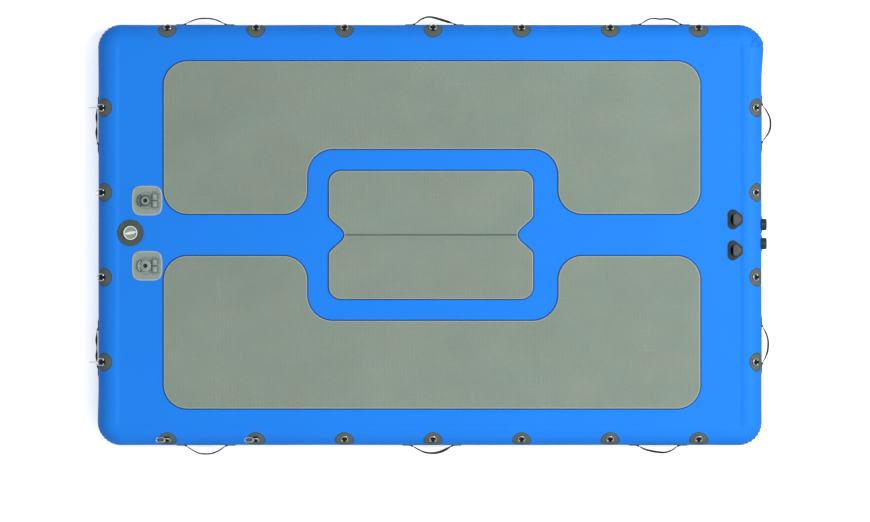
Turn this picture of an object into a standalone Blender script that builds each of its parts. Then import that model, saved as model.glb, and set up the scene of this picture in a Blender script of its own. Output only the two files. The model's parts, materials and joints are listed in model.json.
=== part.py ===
"""Inflatable dock platform: a drop-stitch air chamber with deck pads, valve, rings, handles and mounts.

X runs along the platform towards the end with the motor sockets, Y across it and Z up.
The origin is at the middle of the underside. Lengths are in metres.
"""

import math

import bmesh
import bpy
import numpy as np
from mathutils import Matrix, Vector

# Air chamber
LENGTH = 4.0
WIDTH = 2.534
THICKNESS = 0.2
PLAN_CORNER_RADIUS = 0.14
PANEL_SKIN = 0.0012
WALL_SKIN = 0.002
GAP = 0.0003
CUT_OVERRUN = 0.004
MERGE_DISTANCE = 0.00003
SHARP_ANGLE = math.radians(35)
SEAM_ANGLE = math.radians(86)
RIM_STEPS = 12
CORNER_STEPS = 5
CORNER_STARTS = ((1, -1, -90), (1, 1, 0), (-1, 1, 90), (-1, -1, 180))
SIDE_TURNS = {"back": 0, "left": 90, "front": 180, "right": 270}

# Yarn rows inside the chamber
YARN_ROW = 0.002
YARN_SPINE_Y = -0.35
YARN_PITCH = 0.38
YARN_END_SHARES = (0.35, 0.08)
YARN_RIM_STEPS = 6
YARN_CLEARANCE = 0.0009

# Deck pads
PAD_THICKNESS = 0.005
PAD_BEVEL = 0.0018
PAD_CORNER_RADIUS = 0.15
PAD_LEFT_MARGIN = 0.392
PAD_RIGHT_MARGIN = 0.368
PAD_SIDE_MARGIN = 0.216
CHANNEL_HALF_WIDTH = 0.12
WELL_CENTRE_X = 0.0165
WELL_HALF_LENGTH = 0.7485
WELL_HALF_WIDTH = 0.51
CENTRE_PAD_X = 0.006
CENTRE_PAD_HALF_LENGTH = 0.621
CENTRE_PAD_HALF_WIDTH = 0.392
CENTRE_PAD_RADIUS = 0.08
NOTCH_DEPTH = 0.093
NOTCH_HALF_WIDTH = 0.12
NOTCH_STEPS = 12
FOLD_GROOVE_WIDTH = 0.006
FOLD_GROOVE_DEPTH = 0.003
PAD_ARC_STEPS = 6

# Ring patches, keepers and D-rings
PATCH_RADIUS = 0.06
PATCH_THICKNESS = 0.0015
PATCH_ROWS = 8
PATCH_ANGLE = math.radians(46)
LEFT_PATCH_ANGLE = math.radians(51)
BEDDING = 0.0012
ROD_RADIUS = 0.0025
KEEPER_FLOOR = 0.0005
KEEPER_CLEARANCE = 0.0004
KEEPER_WALL = 0.0013
KEEPER_HALF_LENGTH = 0.011
KEEPER_HALF_FOOT = 0.0075
KEEPER_ARC_STEPS = 4
TUNNEL_STEPS = 8
RING_HALF_WIDTH = 0.02
RING_REACH = 0.0375
RING_BAR_CORNER = 0.005
RING_ARC_STEPS = 8
RING_CORNER_STEPS = 2
LONG_RING_LEFT_MARGIN = 0.419
LONG_RING_RIGHT_MARGIN = 0.383
LONG_RING_COUNT = 7
END_RING_MARGIN = 0.502
END_RING_COUNT = 4

# Handles
HANDLE_HALF_SPAN = 0.115
END_HANDLE_HALF_SPAN = 0.106
HANDLE_AXIS_STANDOFF = 0.008
STRAP_THICKNESS = 0.003
STRAP_HALF_WIDTH = 0.019
STRAP_END_HALF_WIDTH = 0.007
STRAP_STEPS = 16
BASE_HALF_SPAN = 0.18
BASE_HALF_WIDTH = 0.022
BASE_THICKNESS = 0.0015
BASE_ROWS = 3
ANCHOR_LENGTH = 0.03
ANCHOR_HALF_WIDTH = 0.01
ANCHOR_HEIGHT = 0.0115
ANCHOR_TOE = 0.0025
ANCHOR_CREST = 0.01
BACK_HANDLE_SHARES = (-0.678, 0.0135, 0.695)
FRONT_HANDLE_SHARES = (-0.6755, 0.006, 0.688)
RIGHT_HANDLE_MARGINS = (0.593, 0.605)
LEFT_HANDLE_MARGINS = (0.602, 0.585)
BACK_HANDLE_RISE = (0.034, 0.042, 0.032)
FRONT_HANDLE_RISE = (0.046, 0.041, 0.037)
RIGHT_HANDLE_RISE = (0.046, 0.032)
LEFT_HANDLE_RISE = (0.016, 0.016)

# Spring snap links
LINK_ROD_RADIUS = 0.00225
LINK_LENGTH = 0.057
LINK_WIDTH = 0.03
LINK_ARC_STEPS = 7
GATE_START = 0.0095
GATE_END = 0.0335
GATE_RADIUS = 0.0018
GATE_TAPER_SHARE = 0.6
GATE_CLEARANCE = 0.0006
LINK_SEAT = 0.0003
FRONT_LINK_COUNT = 2
FRONT_LINK_LIFT = math.radians(22)
FRONT_LINK_REACH = 0.0175
END_LINK_DROOP = {4: 0.0, 1: math.radians(25)}

# Valve
VALVE_MARGIN = 0.199
VALVE_X = VALVE_MARGIN - LENGTH / 2
VALVE_Y = 0.012
VALVE_PATCH_RADIUS = 0.08
VALVE_PATCH_THICKNESS = 0.0015
VALVE_RIB_HEIGHT = 0.0012
VALVE_RIB_WIDTH = 0.0035
VALVE_RIB_PITCH = 0.009
VALVE_RIB_COUNT = 3
VALVE_FLANGE_RADIUS = 0.041
VALVE_FLANGE_THICKNESS = 0.0035
VALVE_BARREL_RADIUS = 0.027
VALVE_BORE_RADIUS = 0.0235
VALVE_BARREL_DEPTH = 0.034
VALVE_SEAT_RADIUS = 0.0185
VALVE_SEAT_THICKNESS = 0.003
VALVE_SPOKE_WIDTH = 0.004
VALVE_HUB_RADIUS = 0.008
VALVE_HUB_HEIGHT = 0.006
VALVE_NUT_RADIUS = 0.039
VALVE_NUT_HEIGHT = 0.008
VALVE_STEM_RADIUS = 0.004
VALVE_POPPET_RADIUS = 0.0215
VALVE_POPPET_THICKNESS = 0.003
VALVE_BUTTON_RADIUS = 0.0075
VALVE_BUTTON_THICKNESS = 0.004
VALVE_BUTTON_DEPTH = 0.006
VALVE_SPRING_WIRE = 0.0006
VALVE_SPRING_TURNS = 4
SPRING_TURN_STEPS = 10
VALVE_CAP_RADIUS = 0.042
VALVE_CAP_HEIGHT = 0.012
VALVE_CAP_WELL = 0.007
VALVE_CAP_RIM = 0.006
VALVE_CAP_BAR_WIDTH = 0.012
VALVE_CAP_BAR_DROP = 0.001
VALVE_CAP_CHAMFER = 0.002
VALVE_PLUG_DEPTH = 0.004
TURN_STEPS = 28

# Motor-bracket sockets
DECK_SOCKET_MARGIN = 0.163
DECK_SOCKET_Y = 0.093
WALL_SOCKET_Y = (0.063, -0.052)
FLANGE_HALF_LENGTH = 0.047
FLANGE_HALF_WIDTH = 0.06
FLANGE_CORNER_RADIUS = 0.027
FLANGE_TIP_RADIUS = 0.02
FLANGE_THICKNESS = 0.003
WALL_FLANGE_HALF_WIDTH = 0.05
WALL_FLANGE_ROWS = 10
HOOD_FRONT = -0.026
HOOD_TIP = 0.034
HOOD_HALF_WIDTH = 0.036
HOOD_CORNER_RADIUS = 0.016
HOOD_TIP_RADIUS = 0.014
HOOD_HEIGHT = 0.03
HOOD_TOP_INSET = 0.009
HOOD_FRONT_INSET = 0.003
HOOD_SHOULDER = 0.02
HOOD_SHOULDER_SHARE = 0.25
LIP_X = -0.037
LIP_WIDTH = 0.005
LIP_HEIGHT = 0.006
LIP_HALF_LENGTH = 0.03
POCKET_HALF_WIDTH = 0.024
POCKET_FLOOR = 0.006
POCKET_CEILING = 0.0235
POCKET_END = 0.014
SOCKET_OUTLINE_STEPS = 20
WALL_BED_STEPS = 48
WALL_BED_LENGTH = 0.24
WALL_HOOD_ROOT = 0.025

# Accessory mounts
MOUNT_PAD_GAP = 0.001
MOUNT_Y = (0.206, -0.186)
MOUNT_HALF_LENGTH = 0.092
MOUNT_HALF_WIDTH = 0.09
MOUNT_PLATE_THICKNESS = 0.0035
MOUNT_PLATE_BEVEL = 0.002
MOUNT_BOW_EXPONENT = 5
MOUNT_OUTLINE_STEPS = 32
TURRET_X = -0.01
TURRET_RADIUS = 0.025
TURRET_NOTCH = 0.003
TURRET_NECK_STEP = 0.002
TURRET_TEETH = 10
TOOTH_SHARES = ((-0.3, 0), (0.3, 0), (0.38, 1), (0.62, 1))
TURRET_HEIGHT = 0.026
TURRET_FOOT_RADIUS = 0.036
TURRET_FOOT_HEIGHT = 0.006
TURRET_SOCKET_RADIUS = 0.014
TURRET_SOCKET_DEPTH = 0.02
TURRET_SOCKET_SIDES = 8
LOCK_RING_HEIGHT = 0.007
LOCK_RING_RADIUS = 0.033
LOCK_TAB_INNER = 0.037
LOCK_TAB_OUTER = 0.047
LOCK_TAB_HALF_ANGLE = math.radians(42)
LOCK_ARM_HALF_ANGLE = math.radians(12)
LOCK_STEPS = 28
LOCK_ARM_STEPS = 3
LOCK_TAB_STEPS = 8
CLAMP_X0 = 0.03
CLAMP_X1 = 0.064
CLAMP_HALF_WIDTH = 0.042
CLAMP_SLOT = 0.008
CLAMP_HEIGHT = 0.016
CLAMP_FLOOR = 0.006
CLAMP_BEVEL = 0.003
CLAMP_BOSS_RADIUS = 0.008
CLAMP_BOSS_HEIGHT = 0.019
CLAMP_BOSS_Y = 0.025
CLAMP_BOSS_STEPS = 12

TOP = THICKNESS
RIM = THICKNESS / 2


def clear_scene():
    for obj in list(bpy.data.objects):
        bpy.data.objects.remove(obj, do_unlink=True)


def material(name, colour, roughness, metallic=0.0):
    made = bpy.data.materials.new(name)
    made.use_nodes = True
    shader = made.node_tree.nodes["Principled BSDF"]
    shader.inputs["Base Color"].default_value = (*colour, 1.0)
    shader.inputs["Roughness"].default_value = roughness
    shader.inputs["Metallic"].default_value = metallic
    return made


def object_from(bm, name, surface, place=None, smooth=True):
    """Turns a bmesh into a named object, with its faces outward, at a place."""
    bmesh.ops.recalc_face_normals(bm, faces=bm.faces)
    mesh = bpy.data.meshes.new(name)
    bm.to_mesh(mesh)
    bm.free()
    if smooth:
        mesh.shade_smooth()
        mesh.set_sharp_from_angle(angle=SHARP_ANGLE)
    mesh.materials.append(surface)
    obj = bpy.data.objects.new(name, mesh)
    bpy.context.scene.collection.objects.link(obj)
    if place is not None:
        obj.matrix_world = place
    return obj


def helper(obj):
    obj.hide_render = True
    obj.display_type = "WIRE"
    return obj


def combine(obj, other, operation):
    """Adds an exact Boolean with one helper object."""
    helper(other)
    modifier = obj.modifiers.new(f"{operation.lower()} {other.name}", "BOOLEAN")
    modifier.operation = operation
    modifier.solver = "EXACT"
    modifier.object = other


def combine_all(obj, others, operation):
    """Adds an exact Boolean with a collection of helper objects."""
    group = bpy.data.collections.new(f"{obj.name} {operation.lower()} helpers")
    bpy.context.scene.collection.children.link(group)
    for other in others:
        helper(other)
        bpy.context.scene.collection.objects.unlink(other)
        group.objects.link(other)
    modifier = obj.modifiers.new(f"{operation.lower()} group", "BOOLEAN")
    modifier.operation = operation
    modifier.solver = "EXACT"
    modifier.operand_type = "COLLECTION"
    modifier.collection = group


def box(name, low, high, surface, place=None):
    bm = bmesh.new()
    bmesh.ops.create_cube(bm, size=1.0)
    size = [b - a for a, b in zip(low, high)]
    centre = [(a + b) / 2 for a, b in zip(low, high)]
    bmesh.ops.scale(bm, vec=size, verts=bm.verts)
    bmesh.ops.translate(bm, vec=centre, verts=bm.verts)
    return object_from(bm, name, surface, place, smooth=False)


def extruded(bm, outline, z0, z1, bevel=0.0):
    """Extrudes a closed outline from z0 to z1, with a chamfer round its top edge."""
    floor = bm.faces.new([bm.verts.new((x, y, z0)) for x, y in outline])
    grown = bmesh.ops.extrude_face_region(bm, geom=[floor])["geom"]
    top_verts = [item for item in grown if isinstance(item, bmesh.types.BMVert)]
    top_face = next(item for item in grown if isinstance(item, bmesh.types.BMFace))
    bmesh.ops.translate(bm, vec=(0, 0, z1 - bevel - z0), verts=top_verts)
    if bevel:
        bmesh.ops.recalc_face_normals(bm, faces=bm.faces)
        bmesh.ops.inset_region(bm, faces=[top_face], thickness=bevel, use_even_offset=True)
        bmesh.ops.translate(bm, vec=(0, 0, bevel), verts=top_face.verts)


def slab(name, outline, z0, z1, surface, bevel=0.0, place=None):
    bm = bmesh.new()
    extruded(bm, outline, z0, z1, bevel)
    return object_from(bm, name, surface, place, smooth=False)


def turned(name, profile, surface, place=None, steps=TURN_STEPS):
    """Spins a closed profile of (radius, z) points once round the Z axis."""
    bm = bmesh.new()
    verts = [bm.verts.new((radius, 0, z)) for radius, z in profile]
    edges = [bm.edges.new((verts[i - 1], verts[i])) for i in range(len(verts))]
    bmesh.ops.spin(
        bm,
        geom=verts + edges,
        cent=(0, 0, 0),
        axis=(0, 0, 1),
        angle=math.tau,
        steps=steps,
        use_merge=True,
    )
    bmesh.ops.remove_doubles(bm, verts=bm.verts, dist=MERGE_DISTANCE)
    bmesh.ops.dissolve_degenerate(bm, edges=bm.edges, dist=MERGE_DISTANCE)
    return object_from(bm, name, surface, place)


def arc(centre, radius, start, end, steps):
    """Points of an arc from one angle to another, ends included."""
    points = []
    for i in range(steps + 1):
        angle = start + (end - start) * i / steps
        points.append((centre[0] + radius * math.cos(angle), centre[1] + radius * math.sin(angle)))
    return points


def rounded_rectangle(half_x, half_y, radius, steps):
    points = []
    for sign_x, sign_y, degrees in CORNER_STARTS:
        centre = (sign_x * (half_x - radius), sign_y * (half_y - radius))
        start = math.radians(degrees)
        points += arc(centre, radius, start, start + math.pi / 2, steps)
    return points


def hull_of_circles(circles, steps):
    """Outline of the tightest band round some circles, each (x, y, radius)."""
    points = []
    for i in range(steps):
        angle = math.tau * i / steps
        ray = (math.cos(angle), math.sin(angle))
        x, y, radius = max(circles, key=lambda c: c[0] * ray[0] + c[1] * ray[1] + c[2])
        points.append((x + radius * ray[0], y + radius * ray[1]))
    return points


def rim_point(station, inset_radius, angle):
    """A point of the half-round rim: a plan station, a distance from the rim's centre line, an angle."""
    (x, y), (out_x, out_y) = station
    flat = inset_radius * math.cos(angle)
    return (x + out_x * flat, y + out_y * flat, RIM + inset_radius * math.sin(angle))


def rim_stations(steps):
    """The rim's centre line in plan, with the outward direction at each point."""
    stations = []
    radius = PLAN_CORNER_RADIUS - RIM
    for sign_x, sign_y, degrees in CORNER_STARTS:
        centre_x = sign_x * (LENGTH / 2 - PLAN_CORNER_RADIUS)
        centre_y = sign_y * (WIDTH / 2 - PLAN_CORNER_RADIUS)
        for i in range(steps + 1):
            angle = math.radians(degrees) + math.pi / 2 * i / steps
            out = (math.cos(angle), math.sin(angle))
            stations.append(((centre_x + radius * out[0], centre_y + radius * out[1]), out))
    return stations


def loft_rings(bm, rings, closed):
    """Joins rings of points, each a closed loop, and caps the ends of an open row of rings."""
    made = [[bm.verts.new(point) for point in ring] for ring in rings]
    count = len(made[0])
    last = len(made) if closed else len(made) - 1
    for i in range(last):
        a, b = made[i], made[(i + 1) % len(made)]
        for j in range(count):
            k = (j + 1) % count
            bm.faces.new((a[j], b[j], b[k], a[k]))
    if not closed:
        bm.faces.new(made[0])
        bm.faces.new(made[-1])


def rim_frame(side, along=0.0):
    """Frame at a place on the rim's centre line: X along the edge, Y outward, Z up."""
    spin = Matrix.Rotation(math.radians(SIDE_TURNS[side]), 4, "Z")
    if side in ("back", "front"):
        sign = 1 if side == "back" else -1
        origin = Vector((along, sign * (WIDTH / 2 - RIM), RIM))
    else:
        sign = 1 if side == "right" else -1
        origin = Vector((sign * (LENGTH / 2 - RIM), along, RIM))
    return Matrix.Translation(origin) @ spin


def on_rim(x, radius, angle):
    """A point in a rim frame from its place along the edge, its radius and its angle."""
    return (x, radius * math.cos(angle), radius * math.sin(angle))


def rim_plate(bm, rows, low, high):
    """A plate wrapped on the rim from rows of (angle, half width), between two radii."""
    rings = []
    for angle, half_width in rows:
        rings.append(
            [
                on_rim(-half_width, high, angle),
                on_rim(half_width, high, angle),
                on_rim(half_width, low, angle),
                on_rim(-half_width, low, angle),
            ]
        )
    loft_rings(bm, rings, closed=False)


def surface_frame(side, along, angle):
    """Frame on the wall's outer face: X along the edge, Y downhill, Z out of the face."""
    tilt = Matrix.Rotation(angle - math.pi / 2, 4, "X")
    return rim_frame(side, along) @ tilt @ Matrix.Translation((0, 0, RIM))


def chamber_solid(name, steps, inset, surface):
    """The air chamber's outer form, drawn in by an inset, as one closed solid."""
    bm = bmesh.new()
    radius = RIM - inset
    rings = []
    for i in range(steps + 1):
        angle = -math.pi / 2 + math.pi * i / steps
        rings.append([rim_point(station, radius, angle) for station in rim_stations(CORNER_STEPS)])
    loft_rings(bm, rings, closed=False)
    return object_from(bm, name, surface)


def make_yarn_rows(surface):
    """Rows of yarn across the chamber, tied by one lengthwise row and cut to the chamber's form."""
    half_length = LENGTH / 2
    half_width = WIDTH / 2
    flat = half_length - RIM
    places = []
    count = round(2 * flat / YARN_PITCH)
    for i in range(count + 1):
        places.append(-flat + 2 * flat * i / count)
    for share in YARN_END_SHARES:
        places += [half_length - share * RIM, share * RIM - half_length]
    spine_low = (-half_length, YARN_SPINE_Y - YARN_ROW / 2, -CUT_OVERRUN)
    spine_high = (half_length, YARN_SPINE_Y + YARN_ROW / 2, THICKNESS + CUT_OVERRUN)
    spine = box("drop_stitch_yarns", spine_low, spine_high, surface)
    rows = []
    for i, x in enumerate(places):
        low = (x - YARN_ROW / 2, -half_width, -CUT_OVERRUN)
        high = (x + YARN_ROW / 2, half_width, THICKNESS + CUT_OVERRUN)
        rows.append(box(f"yarn row {i}", low, high, surface))
    combine_all(spine, rows, "UNION")
    form = chamber_solid("chamber form", YARN_RIM_STEPS, WALL_SKIN + YARN_CLEARANCE, surface)
    combine(spine, form, "INTERSECT")


def make_panels(surface):
    """The two flat faces, out to the seam where the side wall begins."""
    reach = RIM * math.cos(SEAM_ANGLE) - GAP
    half_x = LENGTH / 2 - RIM + reach
    half_y = WIDTH / 2 - RIM + reach
    radius = PLAN_CORNER_RADIUS - RIM + reach
    outline = rounded_rectangle(half_x, half_y, radius, CORNER_STEPS)
    top = slab("top_panel", outline, TOP - PANEL_SKIN, TOP, surface)
    slab("bottom_panel", outline, 0, PANEL_SKIN, surface)
    place = Matrix.Translation((VALVE_X, VALVE_Y, TOP))
    under = -PANEL_SKIN / 2
    profile = [
        (VALVE_BARREL_RADIUS, under),
        (VALVE_PATCH_RADIUS, under),
        (VALVE_PATCH_RADIUS, VALVE_PATCH_THICKNESS),
    ]
    first = VALVE_PATCH_RADIUS - VALVE_RIB_WIDTH
    for i in range(VALVE_RIB_COUNT):
        outer = first - i * VALVE_RIB_PITCH
        inner = outer - VALVE_RIB_WIDTH
        profile += [
            (outer, VALVE_PATCH_THICKNESS),
            (outer, VALVE_PATCH_THICKNESS + VALVE_RIB_HEIGHT),
            (inner, VALVE_PATCH_THICKNESS + VALVE_RIB_HEIGHT),
            (inner, VALVE_PATCH_THICKNESS),
        ]
    profile.append((VALVE_BARREL_RADIUS, VALVE_PATCH_THICKNESS))
    combine(top, turned("valve patch", profile, surface, place), "UNION")
    hole = [
        (0, -CUT_OVERRUN),
        (VALVE_BARREL_RADIUS + GAP, -CUT_OVERRUN),
        (VALVE_BARREL_RADIUS + GAP, CUT_OVERRUN),
        (0, CUT_OVERRUN),
    ]
    combine(top, turned("valve hole", hole, surface, place), "DIFFERENCE")


def spread(first, last, count):
    """Evenly spaced places from the first to the last."""
    return [first + (last - first) * i / (count - 1) for i in range(count)]


def ring_sites():
    """Every D-ring: its side, number, place along the edge and wall angle."""
    sites = []
    first = LONG_RING_LEFT_MARGIN - LENGTH / 2
    last = LENGTH / 2 - LONG_RING_RIGHT_MARGIN
    for side in ("back", "front"):
        for i, along in enumerate(spread(first, last, LONG_RING_COUNT)):
            sites.append((side, i + 1, along, PATCH_ANGLE))
    reach = WIDTH / 2 - END_RING_MARGIN
    for side, angle in (("left", LEFT_PATCH_ANGLE), ("right", PATCH_ANGLE)):
        for i, along in enumerate(spread(-reach, reach, END_RING_COUNT)):
            sites.append((side, i + 1, along, angle))
    return sites


def handle_sites():
    """Every handle: its side, number, place along the edge, half span and rise."""
    back = [share * LENGTH / 2 for share in BACK_HANDLE_SHARES]
    front = [share * LENGTH / 2 for share in FRONT_HANDLE_SHARES]
    right = [WIDTH / 2 - RIGHT_HANDLE_MARGINS[0], RIGHT_HANDLE_MARGINS[1] - WIDTH / 2]
    left = [WIDTH / 2 - LEFT_HANDLE_MARGINS[0], LEFT_HANDLE_MARGINS[1] - WIDTH / 2]
    sides = (
        ("back", back, HANDLE_HALF_SPAN, BACK_HANDLE_RISE),
        ("front", front, HANDLE_HALF_SPAN, FRONT_HANDLE_RISE),
        ("right", right, END_HANDLE_HALF_SPAN, RIGHT_HANDLE_RISE),
        ("left", left, END_HANDLE_HALF_SPAN, LEFT_HANDLE_RISE),
    )
    sites = []
    for side, places, half_span, rises in sides:
        for i, (along, rise) in enumerate(zip(places, rises)):
            sites.append((side, i + 1, along, half_span, rise))
    return sites


def bar_height():
    """Height of a D-ring's bar over the wall's face."""
    return PATCH_THICKNESS + KEEPER_FLOOR + KEEPER_CLEARANCE + ROD_RADIUS


def patch_solid(name, side, along, wall_angle, surface):
    bm = bmesh.new()
    rows = []
    for i in range(PATCH_ROWS):
        turn = math.pi * (i + 0.5) / PATCH_ROWS
        angle = wall_angle - PATCH_RADIUS / RIM * math.cos(turn)
        rows.append((angle, PATCH_RADIUS * math.sin(turn)))
    rim_plate(bm, rows, RIM - BEDDING, RIM + PATCH_THICKNESS)
    return object_from(bm, name, surface, rim_frame(side, along))


def keeper_solid(name, side, along, wall_angle, surface):
    """The webbing hump over a ring's bar, before its tunnel is cut."""
    crown = ROD_RADIUS + KEEPER_CLEARANCE + KEEPER_WALL
    height = bar_height()
    outline = [(-KEEPER_HALF_FOOT, -BEDDING / 2)]
    outline += [(KEEPER_HALF_FOOT, -BEDDING / 2), (KEEPER_HALF_FOOT, PATCH_THICKNESS + KEEPER_FLOOR)]
    outline += arc((0, height), crown, 0, math.pi, KEEPER_ARC_STEPS)
    outline.append((-KEEPER_HALF_FOOT, PATCH_THICKNESS + KEEPER_FLOOR))
    ends = []
    for x in (-KEEPER_HALF_LENGTH, KEEPER_HALF_LENGTH):
        ends.append([(x, y, z) for y, z in outline])
    bm = bmesh.new()
    loft_rings(bm, ends, closed=False)
    return object_from(bm, name, surface, surface_frame(side, along, wall_angle))


def rod_cutter(name, length, radius, place, surface, segments=TUNNEL_STEPS):
    bm = bmesh.new()
    bmesh.ops.create_cone(
        bm, cap_ends=True, segments=segments, radius1=radius, radius2=radius, depth=length
    )
    bmesh.ops.rotate(bm, verts=bm.verts, matrix=Matrix.Rotation(math.pi / 2, 3, "Y"))
    return object_from(bm, name, surface, place)


def anchor_solid(name, side, along, half_span, end, surface):
    """The wedge that carries one end of a handle, its steep face towards the loop."""
    wall = RIM - WALL_SKIN / 2
    near = end * (half_span + GAP)
    far = end * (half_span + GAP + ANCHOR_LENGTH)
    outline = [
        (near, wall),
        (near, RIM + ANCHOR_HEIGHT),
        (near + end * ANCHOR_CREST, RIM + ANCHOR_HEIGHT),
        (far, RIM + ANCHOR_TOE),
        (far, wall),
    ]
    bm = bmesh.new()
    rings = []
    for z in (-ANCHOR_HALF_WIDTH, ANCHOR_HALF_WIDTH):
        rings.append([(x, y, z) for x, y in outline])
    loft_rings(bm, rings, closed=False)
    return object_from(bm, name, surface, rim_frame(side, along), smooth=False)


def make_side_wall(surface):
    """The half-round wall with its ring patches, webbing keepers and handle bases."""
    bm = bmesh.new()
    angles = [-SEAM_ANGLE + 2 * SEAM_ANGLE * i / RIM_STEPS for i in range(RIM_STEPS + 1)]
    rings = []
    for station in rim_stations(CORNER_STEPS):
        outer = [rim_point(station, RIM, angle) for angle in angles]
        inner = [rim_point(station, RIM - WALL_SKIN, angle) for angle in reversed(angles)]
        rings.append(outer + inner)
    loft_rings(bm, rings, closed=True)
    wall = object_from(bm, "side_wall", surface)
    added = []
    tunnels = []
    for side, number, along, angle in ring_sites():
        label = f"{side} {number}"
        added.append(patch_solid(f"patch {label}", side, along, angle, surface))
        added.append(keeper_solid(f"keeper {label}", side, along, angle, surface))
        place = surface_frame(side, along, angle) @ Matrix.Translation((0, 0, bar_height()))
        length = 2 * (KEEPER_HALF_LENGTH + CUT_OVERRUN)
        hole = ROD_RADIUS + KEEPER_CLEARANCE
        tunnels.append(rod_cutter(f"tunnel {label}", length, hole, place, surface))
    for side, number, along, half_span, _rise in handle_sites():
        label = f"{side} {number}"
        bm = bmesh.new()
        reach = BASE_HALF_WIDTH / RIM
        rows = []
        for i in range(BASE_ROWS + 1):
            rows.append((-reach + 2 * reach * i / BASE_ROWS, BASE_HALF_SPAN))
        rim_plate(bm, rows, RIM - BEDDING, RIM + BASE_THICKNESS)
        added.append(object_from(bm, f"handle base {label}", surface, rim_frame(side, along)))
        for end in (-1, 1):
            name = f"handle anchor {label} {end}"
            added.append(anchor_solid(name, side, along, half_span, end, surface))
    combine_all(wall, added, "UNION")
    combine_all(wall, tunnels, "DIFFERENCE")


def ring_outline():
    """Centre line of a D-ring: a bar along X at Y zero, and a bow that reaches out along Y."""
    half = RING_HALF_WIDTH
    corner = RING_BAR_CORNER
    points = arc((-half + corner, corner), corner, math.pi, 1.5 * math.pi, RING_CORNER_STEPS)
    points += arc((half - corner, corner), corner, 1.5 * math.pi, math.tau, RING_CORNER_STEPS)
    points += arc((0, RING_REACH - half), half, 0, math.pi, RING_ARC_STEPS)
    return points


def rod_curve(name, points, radius, cyclic, shares=None):
    """A round rod along flat points, as a bevelled curve."""
    curve = bpy.data.curves.new(name, "CURVE")
    curve.dimensions = "3D"
    curve.twist_mode = "Z_UP"
    curve.bevel_depth = radius
    curve.bevel_resolution = 1
    curve.use_fill_caps = True
    spline = curve.splines.new("POLY")
    spline.points.add(len(points) - 1)
    spline.use_cyclic_u = cyclic
    for i, (x, y) in enumerate(points):
        spline.points[i].co = (x, y, 0, 1)
        spline.points[i].radius = shares[i] if shares else 1.0
    return curve


def place_curve(name, curve, place):
    obj = bpy.data.objects.new(name, curve)
    bpy.context.scene.collection.objects.link(obj)
    obj.matrix_world = place
    return obj


def ring_lift(side, number):
    """Angle from lying downhill on the patch to the ring's place at rest."""
    if side == "back":
        return 0.0
    if side == "left":
        return math.pi / 2 - LEFT_PATCH_ANGLE
    if side == "front" and number <= FRONT_LINK_COUNT:
        return math.pi - FRONT_LINK_LIFT
    return math.pi


def ring_place(side, number, along, angle):
    frame = surface_frame(side, along, angle) @ Matrix.Translation((0, 0, bar_height()))
    return frame @ Matrix.Rotation(ring_lift(side, number), 4, "X")


def make_rings(surface):
    curve = rod_curve("d_ring", ring_outline(), ROD_RADIUS, cyclic=True)
    curve.materials.append(surface)
    for side, number, along, angle in ring_sites():
        place_curve(f"d_ring_{side}_{number}", curve, ring_place(side, number, along, angle))


def strap_solid(name, half_span, rise, humps, surface, place):
    """A webbing loop: its width stands across the wall and tapers at both ends."""
    bm = bmesh.new()
    rings = []
    reach = half_span - GAP
    for i in range(STRAP_STEPS + 1):
        share = 2 * i / STRAP_STEPS - 1
        swell = math.sin(math.pi * humps * (share + 1) / 2) ** 2
        x = share * reach
        y = rise * swell
        slope = rise * math.pi * humps / 2 * math.sin(math.pi * humps * (share + 1)) / reach
        scale = math.hypot(1, slope)
        off_x = -slope / scale * STRAP_THICKNESS / 2
        off_y = STRAP_THICKNESS / 2 / scale
        if i in (0, STRAP_STEPS):
            off_x = 0.0
        spread = min(1.0, rise * swell / (STRAP_HALF_WIDTH - STRAP_END_HALF_WIDTH))
        half = STRAP_END_HALF_WIDTH + (STRAP_HALF_WIDTH - STRAP_END_HALF_WIDTH) * spread
        rings.append(
            [
                (x + off_x, y + off_y, -half),
                (x + off_x, y + off_y, half),
                (x - off_x, y - off_y, half),
                (x - off_x, y - off_y, -half),
            ]
        )
    loft_rings(bm, rings, closed=False)
    return object_from(bm, name, surface, place)


def make_handles(surface):
    for side, number, along, half_span, rise in handle_sites():
        place = rim_frame(side, along) @ Matrix.Translation((0, RIM + HANDLE_AXIS_STANDOFF, 0))
        humps = 2 if side == "left" else 1
        strap_solid(f"handle_{side}_{number}", half_span, rise, humps, surface, place)


def link_outlines():
    """Centre lines of a snap link's body and gate, with the D-ring's rod at the origin."""
    bend = LINK_WIDTH / 2 - LINK_ROD_RADIUS
    near = -(ROD_RADIUS + LINK_ROD_RADIUS + LINK_SEAT)
    near_centre = near + bend
    far_centre = near + LINK_LENGTH - 2 * LINK_ROD_RADIUS - bend
    body = [(GATE_END, bend)]
    body += arc((far_centre, 0), bend, math.pi / 2, -math.pi / 2, LINK_ARC_STEPS)
    body += arc((near_centre, 0), bend, -math.pi / 2, -1.5 * math.pi, LINK_ARC_STEPS)
    body.append((GATE_START, bend))
    pivot_x = GATE_START + GATE_CLEARANCE + GATE_RADIUS
    low = GATE_START + GATE_CLEARANCE - pivot_x
    high = GATE_END - GATE_CLEARANCE - pivot_x
    gate = [(low, 0), (low + GATE_RADIUS / 2, 0), (high - GATE_RADIUS / 2, 0), (high, 0)]
    return body, gate, Vector((pivot_x, bend, 0))


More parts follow.
